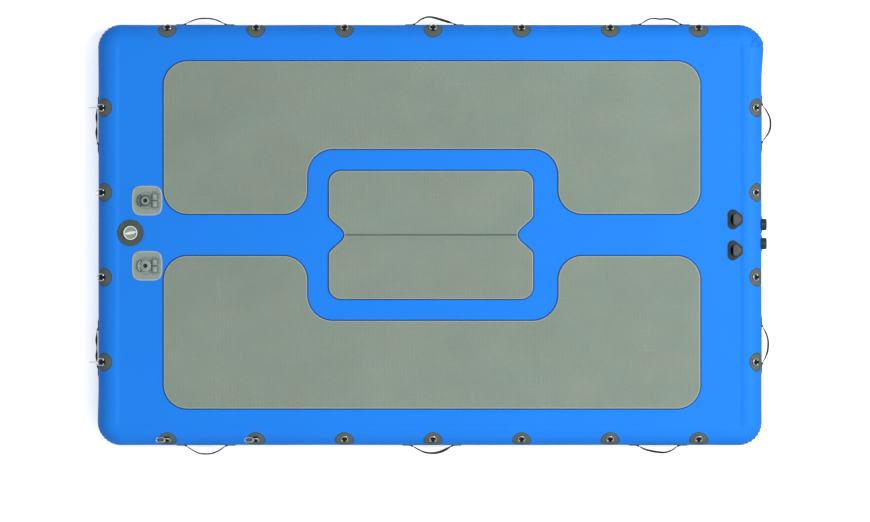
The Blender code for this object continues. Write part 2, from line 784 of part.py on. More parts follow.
def link_sites():
    """Each snap link's name and place: X runs along the link and Z square to its loop."""
    sites = []
    for side, number, along, angle in ring_sites():
        ring = ring_place(side, number, along, angle)
        if side == "front" and number <= FRONT_LINK_COUNT:
            pivot = ring @ Vector((RING_HALF_WIDTH, FRONT_LINK_REACH, 0))
            turn = Matrix.Identity(4)
        elif side == "left" and number in END_LINK_DROOP:
            pivot = ring @ Vector((0, RING_REACH, 0))
            upright = Matrix(((0, 0, 1, 0), (1, 0, 0, 0), (0, 1, 0, 0), (0, 0, 0, 1)))
            turn = Matrix.Rotation(-END_LINK_DROOP[number], 4, "X") @ upright
        else:
            continue
        spin = rim_frame(side, along).to_quaternion().to_matrix().to_4x4()
        sites.append((f"{side}_{number}", Matrix.Translation(pivot) @ spin @ turn))
    return sites


def make_links(surface):
    body, gate, pivot = link_outlines()
    body_curve = rod_curve("snap_link", body, LINK_ROD_RADIUS, cyclic=False)
    shares = [GATE_TAPER_SHARE, 1.0, 1.0, GATE_TAPER_SHARE]
    gate_curve = rod_curve("snap_link_gate", gate, GATE_RADIUS, cyclic=False, shares=shares)
    for curve in (body_curve, gate_curve):
        curve.materials.append(surface)
    for label, place in link_sites():
        place_curve(f"snap_link_{label}", body_curve, place)
        place_curve(f"link_gate_{label}", gate_curve, place @ Matrix.Translation(pivot))


def well_pad_outline(sign):
    """Outline of a deck pad on one side of the channel, with the recess that clears the centre pad."""
    radius = PAD_CORNER_RADIUS
    right = math.pi / 2
    left_x = PAD_LEFT_MARGIN - LENGTH / 2
    right_x = LENGTH / 2 - PAD_RIGHT_MARGIN
    outer_y = WIDTH / 2 - PAD_SIDE_MARGIN
    well_left = WELL_CENTRE_X - WELL_HALF_LENGTH
    well_right = WELL_CENTRE_X + WELL_HALF_LENGTH
    low = CHANNEL_HALF_WIDTH
    corners = (
        (left_x + radius, low + radius, 2 * right, 3 * right),
        (well_left - radius, low + radius, -right, 0),
        (well_left + radius, WELL_HALF_WIDTH - radius, 2 * right, right),
        (well_right - radius, WELL_HALF_WIDTH - radius, right, 0),
        (well_right + radius, low + radius, 2 * right, 3 * right),
        (right_x - radius, low + radius, -right, 0),
        (right_x - radius, outer_y - radius, 0, right),
        (left_x + radius, outer_y - radius, right, 2 * right),
    )
    points = []
    for x, y, start, end in corners:
        points += arc((x, y), radius, start, end, PAD_ARC_STEPS)
    return [(x, sign * y) for x, y in points]


def notch_side(sign):
    """The points of one short side of the centre pad, with its smooth notch, from low to high Y."""
    points = []
    for i in range(NOTCH_STEPS + 1):
        share = 2 * i / NOTCH_STEPS - 1
        inset = NOTCH_DEPTH * (1 + math.cos(math.pi * share)) / 2
        points.append((sign * (CENTRE_PAD_HALF_LENGTH - inset), share * NOTCH_HALF_WIDTH))
    return points


def centre_pad_outline():
    half_x = CENTRE_PAD_HALF_LENGTH
    half_y = CENTRE_PAD_HALF_WIDTH
    radius = CENTRE_PAD_RADIUS
    right = math.pi / 2
    x = half_x - radius
    y = half_y - radius
    points = arc((x, -y), radius, -right, 0, PAD_ARC_STEPS)
    points += notch_side(1)
    points += arc((x, y), radius, 0, right, PAD_ARC_STEPS)
    points += arc((-x, y), radius, right, 2 * right, PAD_ARC_STEPS)
    points += reversed(notch_side(-1))
    points += arc((-x, -y), radius, 2 * right, 3 * right, PAD_ARC_STEPS)
    return [(px + CENTRE_PAD_X, py) for px, py in points]


def make_pads(surface):
    low = TOP + GAP
    high = low + PAD_THICKNESS
    slab("deck_pad_upper", well_pad_outline(1), low, high, surface, PAD_BEVEL)
    slab("deck_pad_lower", well_pad_outline(-1), low, high, surface, PAD_BEVEL)
    pad = slab("centre_pad", centre_pad_outline(), low, high, surface, PAD_BEVEL)
    half = FOLD_GROOVE_WIDTH / 2
    reach = CENTRE_PAD_HALF_LENGTH + CUT_OVERRUN
    groove_low = (CENTRE_PAD_X - reach, -half, high - FOLD_GROOVE_DEPTH)
    groove_high = (CENTRE_PAD_X + reach, half, high + CUT_OVERRUN)
    combine(pad, box("fold groove", groove_low, groove_high, surface), "DIFFERENCE")


def make_valve(shell, dark, steel):
    """Valve body through the top panel, nut inside, sprung stem, and the cap over them."""
    place = Matrix.Translation((VALVE_X, VALVE_Y, TOP))
    seat = VALVE_PATCH_THICKNESS + GAP
    deep = -VALVE_BARREL_DEPTH
    body = turned(
        "valve_body",
        [
            (VALVE_BORE_RADIUS, seat + VALVE_FLANGE_THICKNESS),
            (VALVE_FLANGE_RADIUS, seat + VALVE_FLANGE_THICKNESS),
            (VALVE_FLANGE_RADIUS, seat),
            (VALVE_BARREL_RADIUS, seat),
            (VALVE_BARREL_RADIUS, deep),
            (VALVE_SEAT_RADIUS, deep),
            (VALVE_SEAT_RADIUS, deep + VALVE_SEAT_THICKNESS),
            (VALVE_BORE_RADIUS, deep + VALVE_SEAT_THICKNESS),
        ],
        shell,
        place,
    )
    guide = VALVE_STEM_RADIUS + GAP
    hub_top = deep + VALVE_SEAT_THICKNESS + VALVE_HUB_HEIGHT
    hub = [
        (guide, deep + VALVE_SEAT_THICKNESS),
        (VALVE_HUB_RADIUS, deep + VALVE_SEAT_THICKNESS),
        (VALVE_HUB_RADIUS, hub_top),
        (guide, hub_top),
    ]
    spokes = []
    for i in range(2):
        reach = VALVE_BORE_RADIUS + GAP
        half = VALVE_SPOKE_WIDTH / 2
        low = (-reach, -half, deep + VALVE_SEAT_THICKNESS / 2)
        high = (reach, half, hub_top - VALVE_HUB_HEIGHT / 2)
        spoke_place = place @ Matrix.Rotation(math.pi / 2 * i, 4, "Z")
        spokes.append(box(f"valve spoke {i}", low, high, shell, spoke_place))
    combine_all(body, spokes + [turned("valve hub", hub, shell, place)], "UNION")
    bore = [(0, deep - CUT_OVERRUN), (guide, deep - CUT_OVERRUN), (guide, hub_top + CUT_OVERRUN)]
    bore.append((0, hub_top + CUT_OVERRUN))
    combine(body, turned("stem bore", bore, shell, place), "DIFFERENCE")
    nut_top = -PANEL_SKIN - GAP
    nut = [
        (VALVE_BARREL_RADIUS + GAP, nut_top - VALVE_NUT_HEIGHT),
        (VALVE_NUT_RADIUS, nut_top - VALVE_NUT_HEIGHT),
        (VALVE_NUT_RADIUS, nut_top),
        (VALVE_BARREL_RADIUS + GAP, nut_top),
    ]
    turned("valve_nut", nut, dark, place)
    poppet_top = deep - GAP
    button_top = -VALVE_BUTTON_DEPTH
    button_low = button_top - VALVE_BUTTON_THICKNESS
    stem = [
        (0, poppet_top - VALVE_POPPET_THICKNESS),
        (VALVE_POPPET_RADIUS, poppet_top - VALVE_POPPET_THICKNESS),
        (VALVE_POPPET_RADIUS, poppet_top),
        (VALVE_STEM_RADIUS, poppet_top),
        (VALVE_STEM_RADIUS, button_low),
        (VALVE_BUTTON_RADIUS, button_low),
        (VALVE_BUTTON_RADIUS, button_top),
        (0, button_top),
    ]
    turned("valve_stem", stem, dark, place)
    make_spring(hub_top + GAP, button_low - GAP, steel, place)
    make_cap(seat + VALVE_FLANGE_THICKNESS + GAP, shell, place)


def make_spring(low, high, surface, place):
    """The valve's coil spring, one unbroken wire that stands between hub and button."""
    radius = (VALVE_STEM_RADIUS + VALVE_BUTTON_RADIUS) / 2
    climb = high - low - 2 * VALVE_SPRING_WIRE
    steps = VALVE_SPRING_TURNS * SPRING_TURN_STEPS
    curve = bpy.data.curves.new("valve_spring", "CURVE")
    curve.dimensions = "3D"
    curve.bevel_depth = VALVE_SPRING_WIRE
    curve.bevel_resolution = 1
    curve.use_fill_caps = True
    spline = curve.splines.new("POLY")
    spline.points.add(steps)
    for i in range(steps + 1):
        angle = math.tau * i / SPRING_TURN_STEPS
        z = low + VALVE_SPRING_WIRE + climb * i / steps
        spline.points[i].co = (radius * math.cos(angle), radius * math.sin(angle), z, 1)
    curve.materials.append(surface)
    place_curve("valve_spring", curve, place)


def make_cap(low, surface, place):
    """The cap: a plug in the bore, a dished top with a raised rim, and a finger bar across it."""
    plug = VALVE_BORE_RADIUS - 2 * GAP
    top = low + VALVE_CAP_HEIGHT
    well = top - VALVE_CAP_WELL
    inner = VALVE_CAP_RADIUS - VALVE_CAP_RIM
    profile = [
        (0, low - VALVE_PLUG_DEPTH),
        (plug, low - VALVE_PLUG_DEPTH),
        (plug, low),
        (VALVE_CAP_RADIUS, low),
        (VALVE_CAP_RADIUS, top - VALVE_CAP_CHAMFER),
        (VALVE_CAP_RADIUS - VALVE_CAP_CHAMFER, top),
        (inner + VALVE_CAP_CHAMFER, top),
        (inner, well),
        (0, well),
    ]
    cap = turned("valve_cap", profile, surface, place)
    reach = inner + VALVE_CAP_CHAMFER
    half = VALVE_CAP_BAR_WIDTH / 2
    bar_low = (-reach, -half, well - GAP)
    bar_high = (reach, half, top - VALVE_CAP_BAR_DROP)
    combine(cap, box("cap bar", bar_low, bar_high, surface, place), "UNION")


def socket_outline(front, tip, half_width, corner, point, steps=SOCKET_OUTLINE_STEPS):
    """A rounded outline with a flat front edge, drawn to a rounded tip at the other end."""
    circles = (
        (front + corner, half_width - corner, corner),
        (front + corner, corner - half_width, corner),
        (tip - point, 0, point),
    )
    return hull_of_circles(circles, steps)


def even_rows(outline, count):
    """An outline's half width at evenly spaced places, as (place, half width) from end to end."""
    upper = sorted(point for point in outline if point[1] > GAP)
    places = [x for x, _ in upper]
    widths = [y for _, y in upper]
    first, last = places[0], places[-1]
    spread = [first + (last - first) * i / count for i in range(count + 1)]
    return [(x, float(np.interp(x, places, widths))) for x in spread]


def hood_solid(name, foot, surface, place):
    """The socket's hood: a boss whose sides draw in to a smaller, flat top."""
    low = socket_outline(HOOD_FRONT, HOOD_TIP, HOOD_HALF_WIDTH, HOOD_CORNER_RADIUS, HOOD_TIP_RADIUS)
    inset = HOOD_TOP_INSET
    high = socket_outline(
        HOOD_FRONT + HOOD_FRONT_INSET,
        HOOD_TIP - inset,
        HOOD_HALF_WIDTH - inset,
        HOOD_CORNER_RADIUS - inset / 2,
        HOOD_TIP_RADIUS - inset / 2,
    )
    share = HOOD_SHOULDER_SHARE
    middle = [
        (ax + (bx - ax) * share, ay + (by - ay) * share) for (ax, ay), (bx, by) in zip(low, high)
    ]
    bm = bmesh.new()
    rings = [
        [(x, y, foot) for x, y in low],
        [(x, y, HOOD_SHOULDER) for x, y in middle],
        [(x, y, HOOD_HEIGHT) for x, y in high],
    ]
    loft_rings(bm, rings, closed=False)
    return object_from(bm, name, surface, place)


def pocket_cutter(name, surface, place):
    low = (HOOD_FRONT - CUT_OVERRUN, -POCKET_HALF_WIDTH, POCKET_FLOOR)
    high = (POCKET_END, POCKET_HALF_WIDTH, POCKET_CEILING)
    return box(name, low, high, surface, place)


def lip_solid(name, foot, surface, place):
    low = (LIP_X, -LIP_HALF_LENGTH, foot)
    high = (LIP_X + LIP_WIDTH, LIP_HALF_LENGTH, LIP_HEIGHT)
    return box(name, low, high, surface, place)


def make_deck_socket(name, sign, surface):
    place = Matrix.Translation((LENGTH / 2 - DECK_SOCKET_MARGIN, sign * DECK_SOCKET_Y, TOP + GAP))
    outline = socket_outline(
        -FLANGE_HALF_LENGTH,
        FLANGE_HALF_LENGTH,
        FLANGE_HALF_WIDTH,
        FLANGE_CORNER_RADIUS,
        FLANGE_TIP_RADIUS,
    )
    flange = slab(name, outline, 0, FLANGE_THICKNESS, surface, place=place)
    foot = FLANGE_THICKNESS / 2
    combine(flange, hood_solid(f"{name} hood", foot, surface, place), "UNION")
    combine(flange, lip_solid(f"{name} lip", foot, surface, place), "UNION")
    combine(flange, pocket_cutter(f"{name} pocket", surface, place), "DIFFERENCE")


def wall_socket_place(along):
    """A frame on the end wall at mid height: X up the wall, Z out of it."""
    upright = Matrix(((0, 0, 1, 0), (0, -1, 0, 0), (1, 0, 0, 0), (0, 0, 0, 1)))
    return Matrix.Translation((LENGTH / 2, along, RIM)) @ upright


def make_wall_socket(name, along, surface):
    """The same hood on a flange that wraps the wall, open downwards."""
    place = wall_socket_place(along)
    outline = socket_outline(
        -FLANGE_HALF_LENGTH,
        FLANGE_HALF_LENGTH,
        WALL_FLANGE_HALF_WIDTH,
        FLANGE_CORNER_RADIUS,
        FLANGE_TIP_RADIUS,
    )
    rows = even_rows(outline, WALL_FLANGE_ROWS)
    frame = rim_frame("right", along)
    bm = bmesh.new()
    rim_plate(bm, [(x / RIM, y) for x, y in rows], RIM + GAP, RIM + GAP + FLANGE_THICKNESS)
    flange = object_from(bm, name, surface, frame)
    hood = hood_solid(f"{name} hood", -WALL_HOOD_ROOT, surface, place)
    bed = RIM + GAP + FLANGE_THICKNESS / 2
    bed_cutter = rod_cutter(f"{name} bed", WALL_BED_LENGTH, bed, frame, surface, WALL_BED_STEPS)
    combine(hood, bed_cutter, "DIFFERENCE")
    combine(flange, hood, "UNION")
    combine(flange, pocket_cutter(f"{name} pocket", surface, place), "DIFFERENCE")


def make_sockets(surface):
    make_deck_socket("deck_socket_upper", 1, surface)
    make_deck_socket("deck_socket_lower", -1, surface)
    make_wall_socket("wall_socket_upper", WALL_SOCKET_Y[0], surface)
    make_wall_socket("wall_socket_lower", WALL_SOCKET_Y[1], surface)


def bowed_outline(half_x, half_y):
    """A pillow outline: four sides that bow out slightly between rounded corners."""
    points = []
    power = 2 / MOUNT_BOW_EXPONENT
    for i in range(MOUNT_OUTLINE_STEPS):
        angle = math.tau * (i + 0.5) / MOUNT_OUTLINE_STEPS
        cosine, sine = math.cos(angle), math.sin(angle)
        x = half_x * math.copysign(abs(cosine) ** power, cosine)
        y = half_y * math.copysign(abs(sine) ** power, sine)
        points.append((x, y))
    return points


def toothed_outline():
    """The turret's crown: flat-topped teeth all round."""
    points = []
    pitch = math.tau / TURRET_TEETH
    for i in range(TURRET_TEETH):
        for share, depth in TOOTH_SHARES:
            radius = TURRET_RADIUS - depth * TURRET_NOTCH
            angle = pitch * (i + share)
            points.append((radius * math.cos(angle), radius * math.sin(angle)))
    return points


def disc(name, radius, low, high, surface, place, steps=TURN_STEPS):
    return slab(name, arc((0, 0), radius, 0, math.tau, steps)[:-1], low, high, surface, place=place)


def lock_outline():
    """The lock ring's outside: a circle with a crescent thumb tab on an arm."""
    middle = math.pi
    arm = LOCK_ARM_HALF_ANGLE
    tab = LOCK_TAB_HALF_ANGLE
    points = arc((0, 0), LOCK_RING_RADIUS, middle + arm, middle - arm + math.tau, LOCK_STEPS)
    points += arc((0, 0), LOCK_TAB_INNER, middle - arm, middle - tab, LOCK_ARM_STEPS)
    points += arc((0, 0), LOCK_TAB_OUTER, middle - tab, middle + tab, LOCK_TAB_STEPS)
    points += arc((0, 0), LOCK_TAB_INNER, middle + tab, middle + arm, LOCK_ARM_STEPS)
    return points


def make_mount(label, y, plate_surface, lock_surface):
    """A glued base with its lock housing and clamp, and the ring that turns round the housing."""
    x = PAD_LEFT_MARGIN - LENGTH / 2 - MOUNT_PAD_GAP - MOUNT_HALF_LENGTH
    place = Matrix.Translation((x, y, TOP + GAP))
    outline = bowed_outline(MOUNT_HALF_LENGTH, MOUNT_HALF_WIDTH)
    bevel = MOUNT_PLATE_BEVEL
    name = f"mount_base_{label}"
    base = slab(name, outline, 0, MOUNT_PLATE_THICKNESS, plate_surface, bevel, place)
    turret = place @ Matrix.Translation((TURRET_X, 0, 0))
    bedding = MOUNT_PLATE_THICKNESS / 2
    foot_top = MOUNT_PLATE_THICKNESS + TURRET_FOOT_HEIGHT
    crown_low = foot_top + 2 * GAP + LOCK_RING_HEIGHT
    neck = TURRET_RADIUS - TURRET_NOTCH - TURRET_NECK_STEP
    added = [
        disc(f"{name} foot", TURRET_FOOT_RADIUS, bedding, foot_top, plate_surface, turret),
        disc(f"{name} neck", neck, bedding, crown_low + GAP, plate_surface, turret),
        slab(f"{name} crown", toothed_outline(), crown_low, TURRET_HEIGHT, plate_surface, place=turret),
    ]
    floor = MOUNT_PLATE_THICKNESS + CLAMP_FLOOR
    low = (CLAMP_X0, -CLAMP_HALF_WIDTH, bedding)
    added.append(box(f"{name} clamp floor", low, (CLAMP_X1, CLAMP_HALF_WIDTH, floor), plate_surface, place))
    for sign in (-1, 1):
        inner = CLAMP_SLOT / 2
        outer = CLAMP_HALF_WIDTH - CLAMP_BEVEL
        y0, y1 = sorted((sign * inner, sign * outer))
        corners = [(CLAMP_X0 + CLAMP_BEVEL, y0), (CLAMP_X1 - CLAMP_BEVEL, y0)]
        corners += [(CLAMP_X1 - CLAMP_BEVEL, y1), (CLAMP_X0 + CLAMP_BEVEL, y1)]
        cheek = f"{name} cheek {sign}"
        added.append(slab(cheek, corners, bedding, CLAMP_HEIGHT, plate_surface, CLAMP_BEVEL / 2, place))
        centre = Matrix.Translation(((CLAMP_X0 + CLAMP_X1) / 2, sign * CLAMP_BOSS_Y, 0))
        boss = f"{name} boss {sign}"
        spot = place @ centre
        height = CLAMP_BOSS_HEIGHT
        post = disc(boss, CLAMP_BOSS_RADIUS, bedding, height, plate_surface, spot, CLAMP_BOSS_STEPS)
        added.append(post)
    combine_all(base, added, "UNION")
    socket_low = TURRET_HEIGHT - TURRET_SOCKET_DEPTH
    socket_high = TURRET_HEIGHT + CUT_OVERRUN
    hole = disc(
        f"{name} socket",
        TURRET_SOCKET_RADIUS,
        socket_low,
        socket_high,
        plate_surface,
        turret,
        TURRET_SOCKET_SIDES,
    )
    combine(base, hole, "DIFFERENCE")
    ring_low = foot_top + GAP
    ring_high = ring_low + LOCK_RING_HEIGHT
    ring = slab(f"mount_lock_{label}", lock_outline(), ring_low, ring_high, lock_surface, place=turret)
    bore = (ring_low - CUT_OVERRUN, ring_high + CUT_OVERRUN)
    clear = neck + GAP
    combine(ring, disc(f"{name} ring bore", clear, *bore, lock_surface, turret), "DIFFERENCE")


def main():
    clear_scene()
    blue = material("pvc_blue", (0.02, 0.25, 0.93), 0.42)
    yarn = material("yarn_white", (0.8, 0.8, 0.78), 0.9)
    foam = material("foam_grey_green", (0.254, 0.328, 0.279), 0.85)
    webbing = material("webbing_black", (0.032, 0.034, 0.034), 0.8)
    steel = material("steel_bright", (0.72, 0.72, 0.70), 0.25, 1.0)
    shell = material("valve_grey", (0.578, 0.679, 0.61), 0.45)
    dark = material("moulded_dark", (0.033, 0.045, 0.048), 0.6)
    mount = material("mount_grey", (0.242, 0.296, 0.275), 0.55)
    make_panels(blue)
    make_side_wall(blue)
    make_yarn_rows(yarn)
    make_pads(foam)
    make_rings(steel)
    make_handles(webbing)
    make_links(steel)
    make_valve(shell, dark, steel)
    make_sockets(dark)
    for label, y in zip(("upper", "lower"), MOUNT_Y):
        make_mount(label, y, mount, mount)


if __name__ == "__main__":
    main()
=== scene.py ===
"""Visual model of the inflatable dock platform: every shape, finish, light and camera round the CAD frame."""

import json
import math

import bmesh
import bpy
from mathutils import Matrix, Vector, noise


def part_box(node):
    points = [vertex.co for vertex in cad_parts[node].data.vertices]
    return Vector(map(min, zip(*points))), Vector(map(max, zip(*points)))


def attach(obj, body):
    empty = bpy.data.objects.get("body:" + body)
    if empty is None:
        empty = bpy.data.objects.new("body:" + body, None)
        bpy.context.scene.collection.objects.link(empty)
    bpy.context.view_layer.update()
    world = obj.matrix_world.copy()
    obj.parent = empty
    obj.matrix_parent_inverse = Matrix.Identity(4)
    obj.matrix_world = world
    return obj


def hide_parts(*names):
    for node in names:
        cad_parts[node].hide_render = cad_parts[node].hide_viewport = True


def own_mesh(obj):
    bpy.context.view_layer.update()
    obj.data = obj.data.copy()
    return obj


bl_info = {
    "name": "Inflatable dock platform",
    "version": (1, 0, 0),
    "blender": (4, 5, 0),
    "location": "3D View > Sidebar > Dock",
    "description": "Builds a drop-stitch dock platform with its deck pads, fittings and handles",
    "category": "Object",
}

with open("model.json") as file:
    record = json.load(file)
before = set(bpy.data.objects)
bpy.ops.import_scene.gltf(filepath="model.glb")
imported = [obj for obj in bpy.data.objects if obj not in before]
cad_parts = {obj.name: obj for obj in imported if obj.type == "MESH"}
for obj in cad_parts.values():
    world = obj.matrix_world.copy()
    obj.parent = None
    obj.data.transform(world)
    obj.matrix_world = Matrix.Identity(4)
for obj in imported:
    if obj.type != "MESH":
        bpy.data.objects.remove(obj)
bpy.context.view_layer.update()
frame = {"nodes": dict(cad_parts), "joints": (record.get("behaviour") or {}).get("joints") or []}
JOINTS = {joint["name"]: joint for joint in frame["joints"]}
PAD_LOW, PAD_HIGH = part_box("deck_pad_upper")
TOP_Z = PAD_LOW.z - 0.0003
CLEAR = 0.0003
ALONG_X, ALONG_Y, UP = Vector((1, 0, 0)), Vector((0, 1, 0)), Vector((0, 0, 1))


def size_property(name, description, metres):
    return bpy.props.FloatProperty(name=name, description=description, default=metres, unit="LENGTH")


class DockSizes(bpy.types.PropertyGroup):
    """Sizes that a maker of the platform would change."""

    length: size_property("Length", "Length of the air chamber", 4.0)
    width: size_property("Width", "Width of the air chamber", 2.534)
    depth: size_property("Depth", "Depth of the air chamber", TOP_Z)
    plan_corner: size_property("Plan corner", "Corner radius seen from above", 0.14)
    skin: size_property("Skin", "Thickness of the coated fabric", 0.0011)
    seam_step: size_property("Seam step", "Height of the rail tape's edge on the deck", 0.0009)
    pucker: size_property("Pucker", "Depth of the gathers round each corner", 0.0042)
    corner_swell: size_property("Corner swell", "How far the corners stand out", 0.0065)
    patch_radius: size_property("Patch radius", "Radius of a ring patch", 0.0575)
    ring_rod: size_property("Ring rod", "Radius of a D-ring's rod", 0.0025)
    link_rod: size_property("Link rod", "Radius of a snap link's rod", 0.00225)
    strap_thickness: size_property("Strap thickness", "Thickness of the handle webbing", 0.0038)
    strap_width: size_property("Strap width", "Width of the handle webbing", 0.036)
    # The dark band round each pad's foot is a painted contact shadow; this is its width.
    pad_shadow_width: size_property("Glue line", "Width of the glue line round a deck pad", 0.0070)
    pad_bevel: size_property("Pad bevel", "Rounding of the deck pads' edge", 0.003)


def colour_property(name, description, colour):
    return bpy.props.FloatVectorProperty(
        name=name, description=description, default=colour, subtype="COLOR", size=3, min=0, max=1
    )


class DockColours(bpy.types.PropertyGroup):
    """Colours of the platform's finishes."""

    hull: colour_property("Hull", "Coated fabric of the air chamber", (0.011, 0.212, 0.825))
    foam: colour_property("Foam", "Deck pads", (0.262, 0.330, 0.282))
    foam_edge: colour_property("Foam edge", "Cut edge of the deck pads", (0.40, 0.43, 0.36))
    patch: colour_property("Patch", "Ring patches and handle base strips", (0.078, 0.104, 0.094))
    webbing: colour_property("Webbing", "Handle straps and keepers", (0.006, 0.0065, 0.0062))
    steel: colour_property("Steel", "Rings, links and spring", (0.80, 0.81, 0.80))
    valve: colour_property("Valve", "Valve cap and body", (0.69, 0.78, 0.69))
    mount: colour_property("Mount", "Accessory mounts", (0.235, 0.290, 0.268))
    # The border colour is a painted highlight, also used on pips, ribs, bosses and the lower lock ring.
    mount_edge: colour_property("Mount edge", "Border of the accessory mounts", (0.33, 0.40, 0.37))
    # Only the deck sockets' hoods take this lighter colour, and the wall hoods the socket colour: painted
    # light on one moulding.
    hood: colour_property("Hood", "Hoods of the motor-bracket sockets", (0.062, 0.072, 0.066))
    socket: colour_property("Socket", "Motor-bracket sockets", (0.013, 0.021, 0.024))
    yarn: colour_property("Yarn", "Drop-stitch yarn", (0.80, 0.80, 0.77))
    # Colour of the painted contact shadow round the deck pads.
    pad_shadow: colour_property("Glue line", "Glue line round the deck pads", (0.006, 0.070, 0.26))


def sizes():
    return bpy.context.scene.dock_sizes


def colours():
    return bpy.context.scene.dock_colours


# Shader groups


def new_group(name, inputs, outputs):
    """An empty shader group with named sockets: its tree, what it is given and what it gives back."""
    tree = bpy.data.node_groups.new(name, "ShaderNodeTree")
    for label, kind, value in inputs:
        made = tree.interface.new_socket(label, in_out="INPUT", socket_type=f"NodeSocket{kind}")
        if value is not None:
            made.default_value = value
    for label, kind in outputs:
        tree.interface.new_socket(label, in_out="OUTPUT", socket_type=f"NodeSocket{kind}")
    given, gives = tree.nodes.new("NodeGroupInput"), tree.nodes.new("NodeGroupOutput")
    return tree, given.outputs, gives.inputs


def wire(tree, source, target):
    """Links an output to a socket, or sets the socket to a number or a colour."""
    if isinstance(source, (int, float, tuple)):
        target.default_value = source
    else:
        tree.links.new(source, target)


def math_node(tree, operation, first, second=0.0):
    node = tree.nodes.new("ShaderNodeMath")
    node.operation = operation
    wire(tree, first, node.inputs[0])
    wire(tree, second, node.inputs[1])
    return node.outputs[0]


def noise_node(tree, vector, scale, detail=3.0, roughness=0.5, distortion=0.0):
    node = tree.nodes.new("ShaderNodeTexNoise")
    node.inputs["Detail"].default_value = detail
    node.inputs["Roughness"].default_value = roughness
    node.inputs["Distortion"].default_value = distortion
    wire(tree, vector, node.inputs["Vector"])
    wire(tree, scale, node.inputs["Scale"])
    return node.outputs["Fac"]


def remap(tree, value, low, high, out_low, out_high):
    node = tree.nodes.new("ShaderNodeMapRange")
    node.clamp = True
    wire(tree, value, node.inputs["Value"])
    ends = ("From Min", low), ("From Max", high), ("To Min", out_low), ("To Max", out_high)
    for label, number in ends:
        wire(tree, number, node.inputs[label])
    return node.outputs["Result"]


def mix_colour(tree, factor, first, second):
    node = tree.nodes.new("ShaderNodeMix")
    node.data_type = "RGBA"
    sockets = [s for s in node.inputs if s.enabled]
    for socket, value in zip(sockets, (factor, first, second)):
        wire(tree, value, socket)
    return next(s for s in node.outputs if s.enabled)


def point_attribute(tree, name):
    """A number that the mesh holds for each of its points."""
    node = tree.nodes.new("ShaderNodeAttribute")
    node.attribute_name = name
    return node.outputs["Fac"]


def waves(tree, vector, axis, scale):
    """A sine wave along one axis of a vector, from -1 to 1, its scale in waves per metre."""
    split = tree.nodes.new("ShaderNodeSeparateXYZ")
    wire(tree, vector, split.inputs[0])
    turned = math_node(tree, "MULTIPLY", split.outputs[axis], scale)
    return math_node(tree, "SINE", math_node(tree, "MULTIPLY", turned, math.tau))


def build_mottle():
    """Soft cloudy change from one colour to another, with finer specks in it."""
    tree, given, gives = new_group(
        "Mottle",
        [
            ("Vector", "Vector", None), ("Colour", "Color", None), ("Second", "Color", None),
            ("Scale", "Float", 3.0), ("Amount", "Float", 0.5), ("Speck scale", "Float", 300.0),
            ("Speck amount", "Float", 0.1),
        ],
        [("Colour", "Color"), ("Mask", "Float")],
    )
    cloud = noise_node(tree, given["Vector"], given["Scale"], 4.0, 0.55)
    mask = remap(tree, cloud, 0.35, 0.68, 0.0, given["Amount"])
    broad = mix_colour(tree, mask, given["Colour"], given["Second"])
    specks = noise_node(tree, given["Vector"], given["Speck scale"], 2.0, 0.6)
    fleck = remap(tree, specks, 0.42, 0.75, 0.0, given["Speck amount"])
    wire(tree, mix_colour(tree, fleck, broad, given["Second"]), gives["Colour"])
    wire(tree, mask, gives["Mask"])
    return tree


def build_weave():
    """Relief of a plain weave along two directions, its scale in threads per metre."""
    tree, given, gives = new_group(
        "Plain weave",
        [("Vector", "Vector", None), ("Threads", "Float", 900.0), ("Depth", "Float", 1.0)],
        [("Height", "Float")],
    )
    along = waves(tree, given["Vector"], 0, given["Threads"])
    across = waves(tree, given["Vector"], 1, given["Threads"])
    rise = waves(tree, given["Vector"], 2, given["Threads"])
    crossed = math_node(tree, "MULTIPLY", along, across)
    upright = math_node(tree, "MULTIPLY", rise, math_node(tree, "ADD", along, across))
    total = math_node(tree, "ADD", crossed, upright)
    wire(tree, math_node(tree, "MULTIPLY", total, given["Depth"]), gives["Height"])
    return tree


def build_grain():
    """Fine pebbled relief of moulded plastic or coated cloth, with larger soft swells."""
    tree, given, gives = new_group(
        "Grain",
        [
            ("Vector", "Vector", None), ("Scale", "Float", 900.0), ("Depth", "Float", 1.0),
            ("Swell scale", "Float", 8.0), ("Swell", "Float", 0.0),
        ],
        [("Height", "Float"), ("Mask", "Float")],
    )
    fine = noise_node(tree, given["Vector"], given["Scale"], 3.0, 0.6)
    swell = noise_node(tree, given["Vector"], given["Swell scale"], 2.0, 0.5)
    fine_height = math_node(tree, "MULTIPLY", fine, given["Depth"])
    swell_height = math_node(tree, "MULTIPLY", swell, given["Swell"])
    wire(tree, math_node(tree, "ADD", fine_height, swell_height), gives["Height"])
    wire(tree, fine, gives["Mask"])
    return tree


def build_scuffs():
    """Thin broken scratches in two directions, as a mask from 0 to 1."""
    tree, given, gives = new_group(
        "Scuffs",
        [("Vector", "Vector", None), ("Scale", "Float", 6.0), ("Amount", "Float", 0.3)],
        [("Mask", "Float")],
    )
    masks = []
    for stretch in ((1.0, 14.0, 6.0), (11.0, 1.6, 7.0)):
        mapping = tree.nodes.new("ShaderNodeMapping")
        mapping.inputs["Scale"].default_value = stretch
        mapping.inputs["Rotation"].default_value = (0.0, 0.0, math.radians(17))
        wire(tree, given["Vector"], mapping.inputs["Vector"])
        streak = noise_node(tree, mapping.outputs["Vector"], given["Scale"], 6.0, 0.7, 0.4)
        masks.append(remap(tree, streak, 0.62, 0.74, 0.0, 1.0))
    patches = noise_node(tree, given["Vector"], 1.7, 2.0)
    where = remap(tree, patches, 0.5, 0.62, 0.0, given["Amount"])
    both = math_node(tree, "MAXIMUM", masks[0], masks[1])
    wire(tree, math_node(tree, "MULTIPLY", both, where), gives["Mask"])
    return tree


GROUP_BUILDERS = {
    "Mottle": build_mottle,
    "Plain weave": build_weave,
    "Grain": build_grain,
    "Scuffs": build_scuffs,
}


